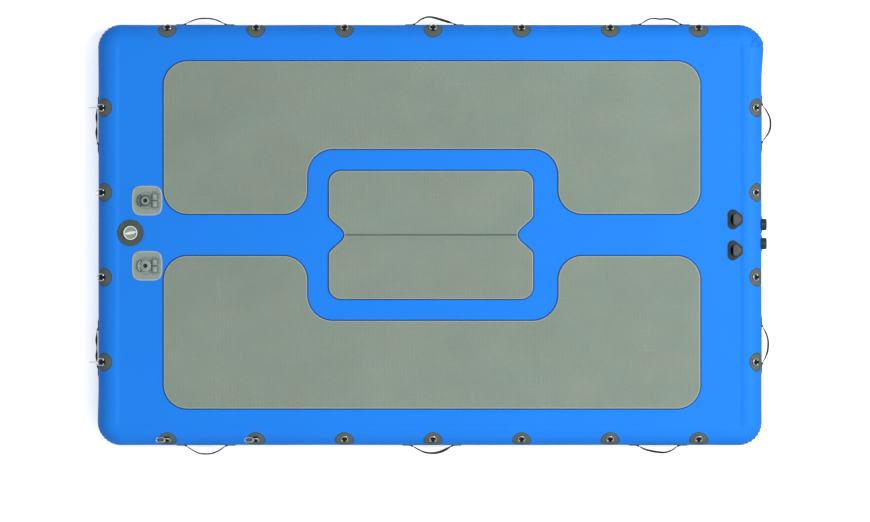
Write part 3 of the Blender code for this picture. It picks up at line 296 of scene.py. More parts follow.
class Finish:
    """One material in the making: its tree, its shader and its coordinates."""

    def __init__(self, name, roughness, metallic=0.0, coordinates="Object", **settings):
        self.material = bpy.data.materials.new(name)
        self.material.use_nodes = True
        self.tree = self.material.node_tree
        self.shader = self.tree.nodes["Principled BSDF"]
        self.shader.inputs["Roughness"].default_value = roughness
        self.shader.inputs["Metallic"].default_value = metallic
        for label, value in settings.items():
            self.shader.inputs[label.replace("_", " ")].default_value = value
        if coordinates == "Object":
            node = self.tree.nodes.new("ShaderNodeTexCoord")
            self.vector = node.outputs["Object"]
        else:
            node = self.tree.nodes.new("ShaderNodeAttribute")
            node.attribute_name = coordinates
            self.vector = node.outputs["Vector"]

    def group(self, name, vector=None, **values):
        tree = bpy.data.node_groups.get(name) or GROUP_BUILDERS[name]()
        node = self.tree.nodes.new("ShaderNodeGroup")
        node.node_tree = tree
        wire(self.tree, vector or self.vector, node.inputs["Vector"])
        for label, value in values.items():
            socket = node.inputs[label.replace("_", " ")]
            socket.default_value = (*value, 1.0) if isinstance(value, (tuple, list)) else value
        return node

    def height(self, name, vector=None, **values):
        return self.group(name, vector, **values).outputs["Height"]

    def scaled(self, scale, turn=0.0):
        node = self.tree.nodes.new("ShaderNodeMapping")
        node.inputs["Scale"].default_value = scale
        node.inputs["Rotation"].default_value = (0, 0, turn)
        wire(self.tree, self.vector, node.inputs["Vector"])
        return node.outputs["Vector"]

    def mottle(self, colour, second, **values):
        node = self.group("Mottle", Colour=tuple(colour), Second=tuple(second), **values)
        return node.outputs["Colour"]

    def colour(self, source):
        wire(self.tree, source, self.shader.inputs["Base Color"])

    def rough(self, mask, low, high):
        out = remap(self.tree, mask, 0.3, 0.7, low, high)
        wire(self.tree, out, self.shader.inputs["Roughness"])

    def relief(self, heights, distance):
        """Sums some heights and feeds them to the shader's normal through one bump."""
        total = heights[0]
        for height in heights[1:]:
            total = math_node(self.tree, "ADD", total, height)
        bump = self.tree.nodes.new("ShaderNodeBump")
        bump.inputs["Distance"].default_value = distance
        bump.inputs["Strength"].default_value = 1.0
        wire(self.tree, total, bump.inputs["Height"])
        wire(self.tree, bump.outputs["Normal"], self.shader.inputs["Normal"])
        return self.material


def shade(colour, factor):
    return tuple(min(1.0, channel * factor) for channel in colour)


# Finishes


def coated_cloth(name, colour, roughness=0.42):
    """Coated drop-stitch cloth: a satin skin that shows the weave and the stitch rows beneath it."""
    finish = Finish(name, roughness, Specular_IOR_Level=0.12)
    finish.colour(
        finish.mottle(
            colour, shade(colour, 0.90), Scale=1.3, Amount=0.35, Speck_scale=420.0, Speck_amount=0.10
        )
    )
    weave = finish.height("Plain weave", Threads=620.0, Depth=0.14)
    grain = finish.height("Grain", Scale=140.0, Depth=0.5, Swell_scale=9.0, Swell=1.1)
    scuffs = finish.group("Scuffs", Scale=5.0, Amount=0.35).outputs["Mask"]
    finish.rough(scuffs, roughness, roughness + 0.14)
    return finish.relief([weave, grain], 0.0006)


def deck_foam(colour, edge):
    """Closed-cell foam with a fine diamond-pressed face, slight stains, pale scuffs and painted shade in the
    centre pad's fold.
    """
    finish = Finish("deck_foam", 0.86, Specular_IOR_Level=0.25)
    tree = finish.tree
    base = finish.mottle(
        colour, shade(colour, 0.80), Scale=2.1, Amount=0.42, Speck_scale=210.0, Speck_amount=0.30
    )
    stains = finish.group("Mottle", finish.scaled((1.0, 1.6, 1.0), 0.3), Scale=3.4, Amount=0.22)
    warm = mix_colour(tree, stains.outputs["Mask"], base, (0.33, 0.335, 0.245, 1.0))
    scuffs = finish.group("Scuffs", Scale=3.2, Amount=0.30).outputs["Mask"]
    face = mix_colour(tree, scuffs, warm, (0.42, 0.47, 0.42, 1.0))
    rim = remap(tree, point_attribute(tree, "edge"), 0.25, 0.75, 0.0, 1.0)
    # Points marked in the centre pad's fold groove are darkened: painted shade.
    fold_shaded = mix_colour(tree, point_attribute(tree, "fold_shade"), face, (*shade(colour, 0.12), 1.0))
    finish.colour(mix_colour(tree, rim, fold_shaded, (*edge, 1.0)))
    turned = finish.scaled((1.0, 1.0, 1.0), math.pi / 4)
    diamonds = finish.height("Plain weave", turned, Threads=160.0, Depth=0.75)
    rows = finish.height("Plain weave", Threads=42.0, Depth=0.35)
    grain = finish.height("Grain", Scale=700.0, Depth=1.1, Swell_scale=6.0, Swell=1.6)
    return finish.relief([diamonds, rows, grain], 0.0009)


def webbing_cloth(name, colour):
    """Ribbed webbing whose weave follows the strap, with rubbed pale edges."""
    finish = Finish(name, 0.72, coordinates="strap", Sheen_Weight=0.04, Specular_IOR_Level=0.2)
    tree = finish.tree
    base = finish.mottle(
        colour, shade(colour, 2.2), Scale=30.0, Amount=0.5, Speck_scale=900.0, Speck_amount=0.5
    )
    split = tree.nodes.new("ShaderNodeSeparateXYZ")
    wire(tree, finish.vector, split.inputs[0])
    edge_marks_and_groove_shade = remap(tree, split.outputs[2], 0.90, 1.0, 0.0, 0.25)
    finish.colour(mix_colour(tree, edge_marks_and_groove_shade, base, (*shade(colour, 5.0), 1.0)))
    weave = finish.height("Plain weave", Threads=420.0, Depth=0.8)
    cords = finish.height("Plain weave", finish.scaled((1.0, 0.0, 0.0)), Threads=210.0, Depth=0.5)
    return finish.relief([weave, cords], 0.0007)


def welded_patch(colour):
    """Dark coated patch, lightly dusted and pebbled over its face, darker where its points are marked as
    edge: its rim, and on the valve patch the painted shade in the grooves between the ribs.
    """
    finish = Finish("welded_patch", 0.6, Specular_IOR_Level=0.3)
    tree = finish.tree
    base = finish.mottle(
        colour, shade(colour, 1.45), Scale=22.0, Amount=0.45, Speck_scale=700.0, Speck_amount=0.3
    )
    # Darker where marked as edge: the patch rims, and painted shade in the valve patch's grooves.
    rim = remap(tree, point_attribute(tree, "edge"), 0.1, 0.9, 0.0, 0.75)
    finish.colour(mix_colour(tree, rim, base, (*shade(colour, 0.42), 1.0)))
    grain = finish.group("Grain", Scale=650.0, Depth=1.0, Swell_scale=60.0, Swell=0.5)
    weave = finish.height("Plain weave", Threads=500.0, Depth=0.2)
    finish.rough(grain.outputs["Mask"], 0.50, 0.68)
    return finish.relief([grain.outputs["Height"], weave], 0.0005)


def moulded_plastic(
    name, colour, roughness, grain_scale=900.0, grain_depth=0.8, dust=1.25, specular=0.35
):
    """Moulded plastic or rubber with a fine spark-eroded grain, dusted and lightly rubbed."""
    finish = Finish(name, roughness, Specular_IOR_Level=specular)
    tree = finish.tree
    base = finish.mottle(
        colour, shade(colour, dust), Scale=16.0, Amount=0.35, Speck_scale=600.0, Speck_amount=0.18
    )
    scuffs = finish.group("Scuffs", Scale=24.0, Amount=0.30).outputs["Mask"]
    finish.colour(mix_colour(tree, scuffs, base, (*shade(colour, dust * 1.25), 1.0)))
    grain = finish.group("Grain", Scale=grain_scale, Depth=grain_depth, Swell_scale=70.0, Swell=0.3)
    finish.rough(grain.outputs["Mask"], roughness - 0.06, roughness + 0.10)
    return finish.relief([grain.outputs["Height"]], 0.0004)


def polished_steel(colour):
    """Stainless rod: polished, with fine draw lines and small tarnish clouds."""
    finish = Finish("polished_steel", 0.22, 1.0)
    finish.colour(
        finish.mottle(
            colour, shade(colour, 0.8), Scale=90.0, Amount=0.45, Speck_scale=1400.0, Speck_amount=0.2
        )
    )
    grain = finish.group("Grain", finish.scaled((1.0, 1.0, 5.0)), Scale=900.0, Depth=0.5)
    finish.rough(grain.outputs["Mask"], 0.16, 0.34)
    return finish.relief([grain.outputs["Height"]], 0.00008)


def yarn_cloth(colour):
    finish = Finish("yarn_rows", 0.92, Sheen_Weight=0.2)
    finish.colour(finish.mottle(colour, shade(colour, 0.8), Scale=20.0, Amount=0.4))
    strands = finish.height("Plain weave", finish.scaled((0.0, 1.0, 0.0)), Threads=320.0, Depth=1.0)
    return finish.relief([strands], 0.0008)


def finishes():
    """Every finish by name, made once."""
    if "deck_foam" in bpy.data.materials:
        return bpy.data.materials
    tint = colours()
    coated_cloth("hull_cloth", tint.hull)
    deck_foam(tint.foam, tint.foam_edge)
    webbing_cloth("strap_webbing", tint.webbing)
    welded_patch(tint.patch)
    polished_steel(tint.steel)
    moulded_plastic("valve_shell", tint.valve, 0.42, 1100.0, 0.4, 1.12)
    moulded_plastic("mount_shell", tint.mount, 0.52, 520.0, 1.2, 1.3)
    # Lighter finish for the mounts' bevelled border, pips, ribs and bosses: painted highlight.
    moulded_plastic("mount_border", tint.mount_edge, 0.50, 520.0, 0.9, 1.15)
    moulded_plastic("socket_rubber", tint.socket, 0.55, 480.0, 1.0, 1.8)
    moulded_plastic("inner_plastic", shade(tint.socket, 0.8), 0.5)
    # A near-black finish for the sheet in the socket's slot: painted shadow.
    moulded_plastic("painted_slot_shadow", shade(tint.socket, 0.05), 0.95, specular=0.0)
    # Lighter finish for the deck hoods only: painted light.
    moulded_plastic("socket_hood", tint.hood, 0.6, 480.0, 1.0, 1.5)
    # Darker finish for the mounts' foot, neck, clamp floor, pip discs and tab surround: painted shade.
    moulded_plastic("mount_shade", shade(tint.mount, 0.42), 0.7, 520.0, 0.8, 1.2)
    # Darker copy of the valve colour for the cap's wells: painted shade.
    moulded_plastic("painted_valve_well_shade", shade(tint.valve, 0.36), 0.6, 1100.0, 0.4, 1.2)
    yarn_cloth(tint.yarn)
    # The band round each pad's foot: painted contact shadow.
    coated_cloth("painted_pad_shadow", tint.pad_shadow, 0.6)
    return bpy.data.materials


# Mesh helpers


def deselect():
    if bpy.context.mode != "OBJECT":
        bpy.ops.object.mode_set(mode="OBJECT")
    bpy.ops.object.select_all(action="DESELECT")


def activate(obj):
    deselect()
    obj.select_set(True)
    bpy.context.view_layer.objects.active = obj
    return obj


def begin(name):
    """Names the primitive that was just added and opens it for editing, all of it selected."""
    obj = bpy.context.object
    obj.name = obj.data.name = name
    bpy.ops.object.mode_set(mode="EDIT")
    bpy.ops.mesh.select_all(action="SELECT")
    return obj


def drawn(name, points, fill="NGON"):
    """A ring of points joined in order, as a face or as bare edges, open for editing."""
    bpy.ops.mesh.primitive_circle_add(vertices=len(points), fill_type=fill)
    obj = begin(name)
    mesh = bmesh.from_edit_mesh(obj.data)
    for vert, point in zip(mesh.verts, points):
        vert.co = point
    bmesh.update_edit_mesh(obj.data)
    return obj


def cube_between(name, low, high):
    """A cube between two corners, open for editing."""
    low, high = Vector(low), Vector(high)
    bpy.ops.mesh.primitive_cube_add(size=1, location=(low + high) / 2, scale=high - low)
    bpy.ops.object.transform_apply(location=True, rotation=True, scale=True)
    return begin(name)


def level_ring(outline, height, place=Matrix.Identity(4)):
    """The points of a flat outline at one height."""
    return [place @ Vector((x, y, height)) for x, y in outline]


def choose(test, kind="face"):
    """Selects the faces or edges whose middle and direction pass a test."""
    mesh = bmesh.from_edit_mesh(bpy.context.object.data)
    bpy.ops.mesh.select_mode(type="FACE" if kind == "face" else "EDGE")
    bpy.ops.mesh.select_all(action="DESELECT")
    if kind == "face":
        for face in mesh.faces:
            face.select_set(test(face.calc_center_median(), face.normal))
    else:
        for edge in mesh.edges:
            first, second = (vert.co for vert in edge.verts)
            edge.select_set(test((first + second) / 2, (second - first).normalized()))
    mesh.select_flush_mode()
    bmesh.update_edit_mesh(bpy.context.object.data)


def slice_at(place, normal):
    """Cuts a straight row of edges across the whole mesh."""
    bpy.ops.mesh.select_all(action="SELECT")
    bpy.ops.mesh.bisect(plane_co=place, plane_no=normal)


def slice_rows(normal, first, last, count, ends=0):
    """Cuts rows across the mesh that part it into equal strips, so that it can bend between them."""
    for i in range(1 - ends, count + ends):
        slice_at(normal * (first + (last - first) * i / count), normal)


def step_inwards(rows):
    """Insets the selected face and lifts it, row by row."""
    for inset, rise in rows:
        bpy.ops.mesh.inset(thickness=inset)
        bpy.ops.transform.translate(value=(0, 0, rise))


def face_outwards():
    """Turns every face outwards and closes editing."""
    bpy.ops.mesh.select_all(action="SELECT")
    bpy.ops.mesh.normals_make_consistent(inside=False)
    bpy.ops.object.mode_set(mode="OBJECT")


def mark_points(obj, name, measure):
    """Stores a number on each point of a mesh, measured from its place."""
    layer = obj.data.attributes.new(name, "FLOAT", "POINT")
    for item, vert in zip(layer.data, obj.data.vertices):
        item.value = float(measure(vert.co))


def lay_flat(obj):
    """Puts a piece's place into its mesh, so that its object sits at the origin."""
    activate(obj)
    bpy.ops.object.transform_apply(location=True, rotation=True, scale=True)


def coat(obj, finish):
    """Gives a piece one finish in place of any other."""
    obj.data.materials.clear()
    obj.data.materials.append(finishes()[finish])


def end(obj, finish, smooth=40):
    """Closes editing, sets the place in the mesh, smooths it and gives it a finish."""
    lay_flat(obj)
    bpy.ops.object.shade_smooth_by_angle(angle=math.radians(smooth))
    coat(obj, finish)
    deselect()
    return obj


def apply_modifier(obj, kind, **settings):
    activate(obj)
    modifier = obj.modifiers.new(kind.lower(), kind)
    for label, value in settings.items():
        setattr(modifier, label, value)
    bpy.ops.object.modifier_apply(modifier=modifier.name)
    return obj


def cut(obj, cutter, **settings):
    """Takes one piece out of another and removes the cutter."""
    apply_modifier(obj, "BOOLEAN", operation="DIFFERENCE", solver="EXACT", object=cutter, **settings)
    bpy.data.objects.remove(cutter)


def swept(name, rings, finish, closed=False, marks=None, smooth=40):
    """A primitive ring drawn out by extrusion through rows of points.

    Each ring is a list of points. The marks give every point's place on the strap for its weave.
    """
    count = len(rings[0])
    obj = drawn(name, rings[0])
    mesh = bmesh.from_edit_mesh(obj.data)
    mesh.verts.layers.int.new("station")
    corner = mesh.verts.layers.int.new("corner")
    for i, vert in enumerate(mesh.verts):
        vert[corner] = i
    bmesh.update_edit_mesh(obj.data)
    for number, ring in enumerate(rings[1:], 1):
        bpy.ops.mesh.extrude_region()
        mesh = bmesh.from_edit_mesh(obj.data)
        corner = mesh.verts.layers.int["corner"]
        station = mesh.verts.layers.int["station"]
        for vert in mesh.verts:
            if vert.select:
                vert.co = ring[vert[corner]]
                vert[station] = number
    if closed:
        mesh = bmesh.from_edit_mesh(obj.data)
        ends = [f for f in mesh.faces if len(f.verts) == count and (f.select or is_first(f, mesh))]
        bmesh.ops.delete(mesh, geom=ends, context="FACES")
        bmesh.ops.remove_doubles(mesh, verts=mesh.verts, dist=1e-6)
    face_outwards()
    if marks:
        corners = [item.value for item in obj.data.attributes["corner"].data]
        stations = [item.value for item in obj.data.attributes["station"].data]
        strap = obj.data.attributes.new("strap", "FLOAT_VECTOR", "POINT")
        for item, i, j in zip(strap.data, corners, stations):
            item.vector = marks[j][i]
    for label in ("corner", "station"):
        obj.data.attributes.remove(obj.data.attributes[label])
    return end(obj, finish, smooth)


def is_first(face, mesh):
    station = mesh.verts.layers.int["station"]
    return all(vert[station] == 0 for vert in face.verts)


def carried(obj, body, slot, *nodes):
    """Puts a finished piece on its body and hides the CAD nodes it stands for."""
    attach(obj, body)
    if nodes:
        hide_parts(*nodes)
    return obj


def copy_of(obj, name, place):
    """A copy with its own mesh, moved by a matrix."""
    made = obj.copy()
    made.data = obj.data.copy()
    made.name = made.data.name = name
    made.data.transform(place)
    bpy.context.scene.collection.objects.link(made)
    return made


def joined(name, pieces):
    """Joins several pieces into one, under one name."""
    activate(pieces[0])
    for piece in pieces[1:]:
        piece.select_set(True)
    if len(pieces) > 1:
        bpy.ops.object.join()
    made = bpy.context.object
    made.name = made.data.name = name
    deselect()
    return made


def arc(centre, radius, start, stop, steps):
    return [
        (
            centre[0] + radius * math.cos(start + (stop - start) * i / steps),
            centre[1] + radius * math.sin(start + (stop - start) * i / steps),
        )
        for i in range(steps + 1)
    ]


def loose_rods(name, rods):
    """Many short closed rods in one mesh, each given as its rings of points."""
    verts = []
    faces = []
    for rings in rods:
        sides = len(rings[0])
        first = len(verts)
        for ring in rings:
            verts += ring
        last = len(verts) - sides
        for row in range(first, last, sides):
            for k in range(sides):
                a, b = row + k, row + (k + 1) % sides
                faces.append((a, b, b + sides, a + sides))
        faces.append(tuple(reversed(range(first, first + sides))))
        faces.append(tuple(range(last, last + sides)))
    mesh = bpy.data.meshes.new(name)
    mesh.from_pydata(verts, [], faces)
    obj = bpy.data.objects.new(name, mesh)
    bpy.context.scene.collection.objects.link(obj)
    return obj


def frame_at(origin, x_axis, z_axis):
    """A matrix whose X and Z run along two directions, its Z kept and its X made square to it."""
    z = Vector(z_axis).normalized()
    x = Vector(x_axis)
    x = (x - z * x.dot(z)).normalized()
    y = z.cross(x)
    rows = Matrix((x, y, z)).transposed().to_4x4()
    return Matrix.Translation(origin) @ rows


def rod_rings(points, radius, sides=16, closed=False):
    """Rings of a round rod along a path of points."""
    path = [Vector(point) for point in points]
    rings = []
    last = len(path) - 1
    normal = None
    for i, point in enumerate(path):
        before = path[i - 1] if i > 0 or closed else path[i]
        after = path[(i + 1) % len(path)] if i < last or closed else path[i]
        along = (after - before).normalized()
        if normal is None:
            normal = along.orthogonal().normalized()
        normal = (normal - along * normal.dot(along)).normalized()
        side = along.cross(normal)
        size = radius[i] if isinstance(radius, (list, tuple)) else radius
        ring = []
        for k in range(sides):
            turn = math.tau * k / sides
            ring.append(point + (normal * math.cos(turn) + side * math.sin(turn)) * size)
        rings.append(ring)
    if closed:
        rings.append(rings[0])
    return rings


# Chamber


def box_middle(node):
    low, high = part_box(node)
    return (low + high) / 2


def box_seat(node):
    """The middle of a CAD piece's underside, and half its size along X and along Y."""
    low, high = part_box(node)
    middle = (low + high) / 2
    return Vector((middle.x, middle.y, low.z)), (high.x - low.x) / 2, (high.y - low.y) / 2


def runs_along_x(side):
    return side in ("back", "front")


def rim_centre(side):
    """Distance of the rim's centre line from the middle, for a side's outward direction."""
    size = sizes()
    half = (size.width if runs_along_x(side) else size.length) / 2
    return half - size.depth / 2


SIDE_TURNS = {"back": 0, "left": 90, "front": 180, "right": 270}


def rim_frame(side, along):
    """Frame on the rim's centre line: X along the edge, Y outward, Z up."""
    size = sizes()
    spin = Matrix.Rotation(math.radians(SIDE_TURNS[side]), 4, "Z")
    sign = 1 if side in ("back", "right") else -1
    reach = sign * rim_centre(side)
    x, y = (along, reach) if runs_along_x(side) else (reach, along)
    return Matrix.Translation((x, y, size.depth / 2)) @ spin


def surface_frame(side, along, angle):
    """Frame on the wall's face: X along the edge, Y downhill, Z out of the face."""
    tilt = Matrix.Rotation(angle - math.pi / 2, 4, "X")
    return rim_frame(side, along) @ tilt @ Matrix.Translation((0, 0, sizes().depth / 2))


def eased_step(share):
    share = min(1.0, max(0.0, share))
    return share * share * (3 - 2 * share)


# The length before a corner over which the cloth starts to swell, and that of the whole ease.
CORNER_EASE = 0.20
CORNER_RUN = 0.26
# How much each corner swells at its short side and at its long side, by whether it is right and back.
CORNER_SWELLS = {
    (True, True): (2.3, 0.2),
    (False, True): (0.3, 0.3),
    (False, False): (0.9, 0.2),
    (True, False): (0.2, 0.2),
}


def gather(point):
    """How far the cloth stands in or out at a point: gathers at the corners, soft swells elsewhere."""
    size = sizes()
    radius = size.depth / 2
    inner_x = size.length / 2 - size.plan_corner
    inner_y = size.width / 2 - size.plan_corner
    over_x = abs(point.x) - inner_x
    over_y = abs(point.y) - inner_y
    broad, fine, folds_round = 0.0007, 0.00035, 8.5
    swell = noise.noise(point * 2.3) * broad + noise.noise(point * 9.0) * fine
    if over_x < -CORNER_EASE or over_y < -CORNER_EASE:
        return swell
    turn = math.atan2(max(over_y, 0.0), max(over_x, 0.0)) / (math.pi / 2)
    near = eased_step((over_x + CORNER_EASE) / CORNER_RUN) * eased_step((over_y + CORNER_EASE) / CORNER_RUN)
    steep = abs(math.hypot(max(over_x, 0), max(over_y, 0)) - (size.plan_corner - radius)) / radius
    steep = max(0.0, min(1.0, steep))
    at_end, at_side = CORNER_SWELLS[point.x > 0, point.y > 0]
    share = at_end + (at_side - at_end) * eased_step(turn * 1.4)
    folds = math.sin(turn * math.tau * folds_round + noise.noise(point * 9) * 2.2)
    folds *= min(1.0, math.sin(turn * math.pi) * 1.8) * (0.75 + noise.noise(point * 21))
    return swell + near * steep * (size.corner_swell * share + folds * size.pucker * 0.5)


class DOCK_OT_chamber(bpy.types.Operator):
    """Builds the air chamber's coated skin: two faces, the half-round wall and the rail tape's edge"""

    bl_idname = "dock.chamber"
    bl_label = "Air chamber"

    def execute(self, context):
        size = sizes()
        half = Vector((size.length, size.width, size.depth)) / 2
        skin = cube_between("chamber_skin", (-half.x, -half.y, 0), (half.x, half.y, size.depth))
        corner_steps, rim_steps, row_pitch = 64, 14, 0.06
        tape_reach, tape_edge, merge = 0.022, 0.0016, 0.0002
        choose(lambda middle, along: abs(along.z) > 0.9, "edge")
        bpy.ops.mesh.bevel(offset=size.plan_corner, segments=corner_steps, affect="EDGES")
        reach = size.depth * 0.45
        choose(lambda middle, along: abs(middle.z - half.z) > reach and abs(along.z) < 0.5, "edge")
        bpy.ops.mesh.bevel(
            offset=half.z, segments=rim_steps, affect="EDGES", clamp_overlap=False, loop_slide=False
        )
        bpy.ops.mesh.select_all(action="SELECT")
        bpy.ops.mesh.remove_doubles(threshold=merge)
        for level in (size.depth, 0.0):
            choose(lambda middle, out: abs(middle.z - level) < 0.0001 and abs(out.z) > 0.99)
            bpy.ops.mesh.inset(thickness=tape_reach)
            bpy.ops.mesh.inset(thickness=tape_edge)
            step = -size.seam_step if level else size.seam_step
            bpy.ops.transform.translate(value=(0, 0, step))
        for normal, reach in ((ALONG_X, half.x - size.plan_corner), (ALONG_Y, half.y - size.plan_corner)):
            slice_rows(normal, -reach, reach, round(2 * reach / row_pitch), ends=1)
        face_outwards()
        for vert in skin.data.vertices:
            if abs(vert.co.z - half.z) < half.z - size.seam_step * 1.5:
                vert.co += vert.normal * gather(vert.co)
        apply_modifier(skin, "SOLIDIFY", thickness=size.skin, offset=-1.0)
        centre, reach = valve_place()
        bpy.ops.mesh.primitive_cylinder_add(
            vertices=64, radius=reach, depth=0.02, location=(centre.x, centre.y, size.depth)
        )
        cut(skin, bpy.context.object)
        end(skin, "hull_cloth", 35)
        carried(skin, "platform", "pvc_blue", "top_panel", "bottom_panel", "side_wall")
        return {"FINISHED"}


def valve_place():
    """Middle of the valve and the radius of the hole its barrel goes through."""
    barrel = 0.027
    return box_middle("valve_body"), barrel + CLEAR


def ring_sites():
    """Every D-ring: its label, side, place along the edge, wall angle and joint."""
    sites = []
    centre = sizes().depth / 2
    for name, joint in JOINTS.items():
        if not name.startswith("d_ring"):
            continue
        side, number = name.split("_")[2:4]
        pivot = Vector(joint["pos_m"])
        along, out = pivot.xy if runs_along_x(side) else pivot.yx
        angle = math.atan2(pivot.z - centre, abs(out) - rim_centre(side))
        sites.append((f"{side}_{number}", side, along, angle, joint))
    return sites


def wrapped(obj, side, along, angle, lift):
    """Lays a flat piece, drawn face up at the origin, on the wall at a place."""
    radius = sizes().depth / 2
    place = rim_frame(side, along)
    for vert in obj.data.vertices:
        turn = angle - vert.co.y / radius
        reach = radius + lift + vert.co.z
        vert.co = place @ Vector((vert.co.x, reach * math.cos(turn), reach * math.sin(turn)))
    return obj


class DOCK_OT_yarns(bpy.types.Operator):
    """Builds the rows of drop-stitch yarn that tie the deck skin to the bottom skin"""

    bl_idname = "dock.yarns"
    bl_label = "Drop-stitch yarns"

    def execute(self, context):
        low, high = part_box("drop_stitch_yarns")
        centre, reach = valve_place()
        radius, pitch, gap = 0.0012, 0.075, 0.045
        inset = sizes().depth / 2 + 0.04
        span_x = high.x - low.x - 2 * inset
        span_y = high.y - low.y - 2 * inset
        columns = int(span_x / pitch)
        rows = int(span_y / gap)
        root, spread = 0.02, 1.8
        yarn = ((low.z, spread), (low.z + root, 1.0), (high.z - root, 1.0), (high.z, spread))
        section = arc((0, 0), radius, 0, math.tau * 4 / 5, 4)
        rods = []
        for i in range(columns + 1):
            for j in range(rows + 1):
                x = low.x + inset + span_x * i / columns
                y = low.y + inset + span_y * j / rows
                if math.hypot(x - centre.x, y - centre.y) < reach * 3:
                    continue
                rods.append([[(x + u * grow, y + v * grow, z) for u, v in section] for z, grow in yarn])
        obj = loose_rods("drop_stitch_rows", rods)
        end(obj, "yarn_rows", 60)
        carried(obj, "platform", "yarn_white", "drop_stitch_yarns")
        return {"FINISHED"}


class DOCK_OT_patches(bpy.types.Operator):
    """Builds the round ring patches and the webbing keeper that is sewn on each of them"""

    bl_idname = "dock.patches"
    bl_label = "Ring patches and keepers"

    def execute(self, context):
        size = sizes()
        patches = []
        keepers = []
        patch = round_patch("ring_patch", size.patch_radius)
        keeper = keeper_strap()
        for label, side, along, angle, _ in ring_sites():
            piece = copy_of(patch, f"patch_{label}", Matrix.Identity(4))
            patches.append(wrapped(piece, side, along, angle, -0.0006))
            place = surface_frame(side, along, angle)
            if side in ("front", "right"):
                place = place @ Matrix.Rotation(math.pi, 4, "Z")
            keepers.append(copy_of(keeper, f"keeper_{label}", place))
        for source in (patch, keeper):
            bpy.data.objects.remove(source)
        carried(joined("ring_patches", patches), "platform", "pvc_blue")
        carried(joined("ring_keepers", keepers), "platform", "webbing_black")
        return {"FINISHED"}


def round_patch(name, radius):
    """A round patch drawn flat, face up, with a pressed rim and a raised middle."""
    bpy.ops.mesh.primitive_circle_add(vertices=72, radius=radius, fill_type="NGON")
    obj = begin(name)
    step_inwards((
        (0.0006, 0.0009), (0.0010, 0.0007), (0.0030, 0.0), (0.0008, -0.00035), (0.0010, 0.00035),
        (0.010, 0.0), (0.012, 0.0), (0.0012, 0.00045), (0.010, 0.0002), (0.010, 0.0),
    ))
    bpy.ops.mesh.poke()
    bpy.ops.mesh.select_mode(type="EDGE")
    bpy.ops.mesh.select_all(action="DESELECT")
    bpy.ops.mesh.select_non_manifold(extend=False)
    bpy.ops.mesh.extrude_region_move(TRANSFORM_OT_translate={"value": (0, 0, -0.0004)})
    bpy.ops.object.mode_set(mode="OBJECT")
    rim = radius - 0.0050
    mark_points(obj, "edge", lambda place: place.xy.length > rim)
    return end(obj, "welded_patch", 30)


# A stitch's three points, as (along, above the cloth).
STITCH = ((-0.0012, 0.0), (0.0, 0.00028), (0.0012, 0.0))


def keeper_strap():
    """Webbing that humps over a ring's bar, with a long tail that lies flat under the ring."""
    hump = sizes().ring_rod + 0.0011
    height, foot = 0.0049, 0.0125
    gathered, spread = 0.0085, 0.0140
    thick, base = 0.0010, 0.0019
    rise = [(0.0, base), (0.0045, base + 0.0001), (0.0066, base + 0.0010), (0.0080, base + 0.0022)]
    path = [(x - foot, z) for x, z in rise]
    path += [(x, height + z) for x, z in arc((0, 0), hump, math.pi * 0.86, math.pi * 0.14, 8)]
    path += [(foot - x, z) for x, z in reversed(rise)]
    path += [(0.0190, base - 0.0001), (0.0260, base - 0.0003), (0.0325, base - 0.0006)]
    rings = []
    marks = []
    run = 0.0
    for i, (y, z) in enumerate(path):
        before = path[max(0, i - 1)]
        after = path[min(len(path) - 1, i + 1)]
        along = Vector((after[0] - before[0], after[1] - before[1])).normalized()
        out = Vector((-along.y, along.x)) * thick / 2
        run += math.dist(path[i], before)
        half = gathered + (spread - gathered) * eased_step((abs(y) - 0.0070) / 0.0060)
        shape = [(-half, 1), (-half * 0.6, 1), (0, 1), (half * 0.6, 1), (half, 1)]
        shape += [(x, -1) for x, _ in reversed(shape)]
        rings.append([(x, y + out.x * s, z + out.y * s) for x, s in shape])
        marks.append([(run, x + 0.002 * s, abs(x) / half) for x, s in shape])
    strap = swept("keeper", rings, "strap_webbing", marks=marks, smooth=50)
    thread = []
    stitches = 8
    for y, lift, pitch in (
        (-0.0105, 0.0, 0.0028), (0.0112, 0.0, 0.0034), (0.0150, 0.0, 0.0034), (0.0300, -0.0005, 0.0034)
    ):
        level = base + lift + thick / 2
        for k in range(stitches):
            x = (k - (stitches - 1) / 2) * pitch
            thread.append([Vector((x + dx, y, level + dz)) for dx, dz in STITCH])
    return joined("keeper", [strap, stitch_run("keeper_stitches", thread)])


class DOCK_OT_rings(bpy.types.Operator):
    """Builds the steel D-rings, each bent from round rod with its weld in the bar"""

    bl_idname = "dock.rings"
    bl_label = "D-rings"

    def execute(self, context):
        rod = sizes().ring_rod
        half, reach, corner, weld = 0.02, 0.0375, 0.005, 0.003
        bar = [(x, 0.0) for x in (-0.010, -0.004, -0.0025, 0.0, 0.0025, 0.004, 0.010)]
        path = arc((-half + corner, corner), corner, math.pi, 1.5 * math.pi, 6) + bar
        path += arc((half - corner, corner), corner, 1.5 * math.pi, math.tau, 6)
        path += arc((0, reach - half), half, 0, math.pi, 24)
        radii = [rod] * len(path)
        for i, (x, y) in enumerate(path):
            if y == 0.0 and abs(x) < weld:
                radii[i] = rod * (1.045 if abs(x) > 0.001 else 1.075)
        rings = rod_rings(level_ring(path, 0.0), radii, 14, closed=True)
        pattern = swept("d_ring_pattern", rings, "polished_steel", closed=True)
        for label, *_, joint in ring_sites():
            node = f"d_ring_{label}"
            ring = copy_of(pattern, f"steel_ring_{label}", hinge_frame(joint, node))
            carried(ring, node, "steel_bright", node)
        bpy.data.objects.remove(pattern)
        return {"FINISHED"}


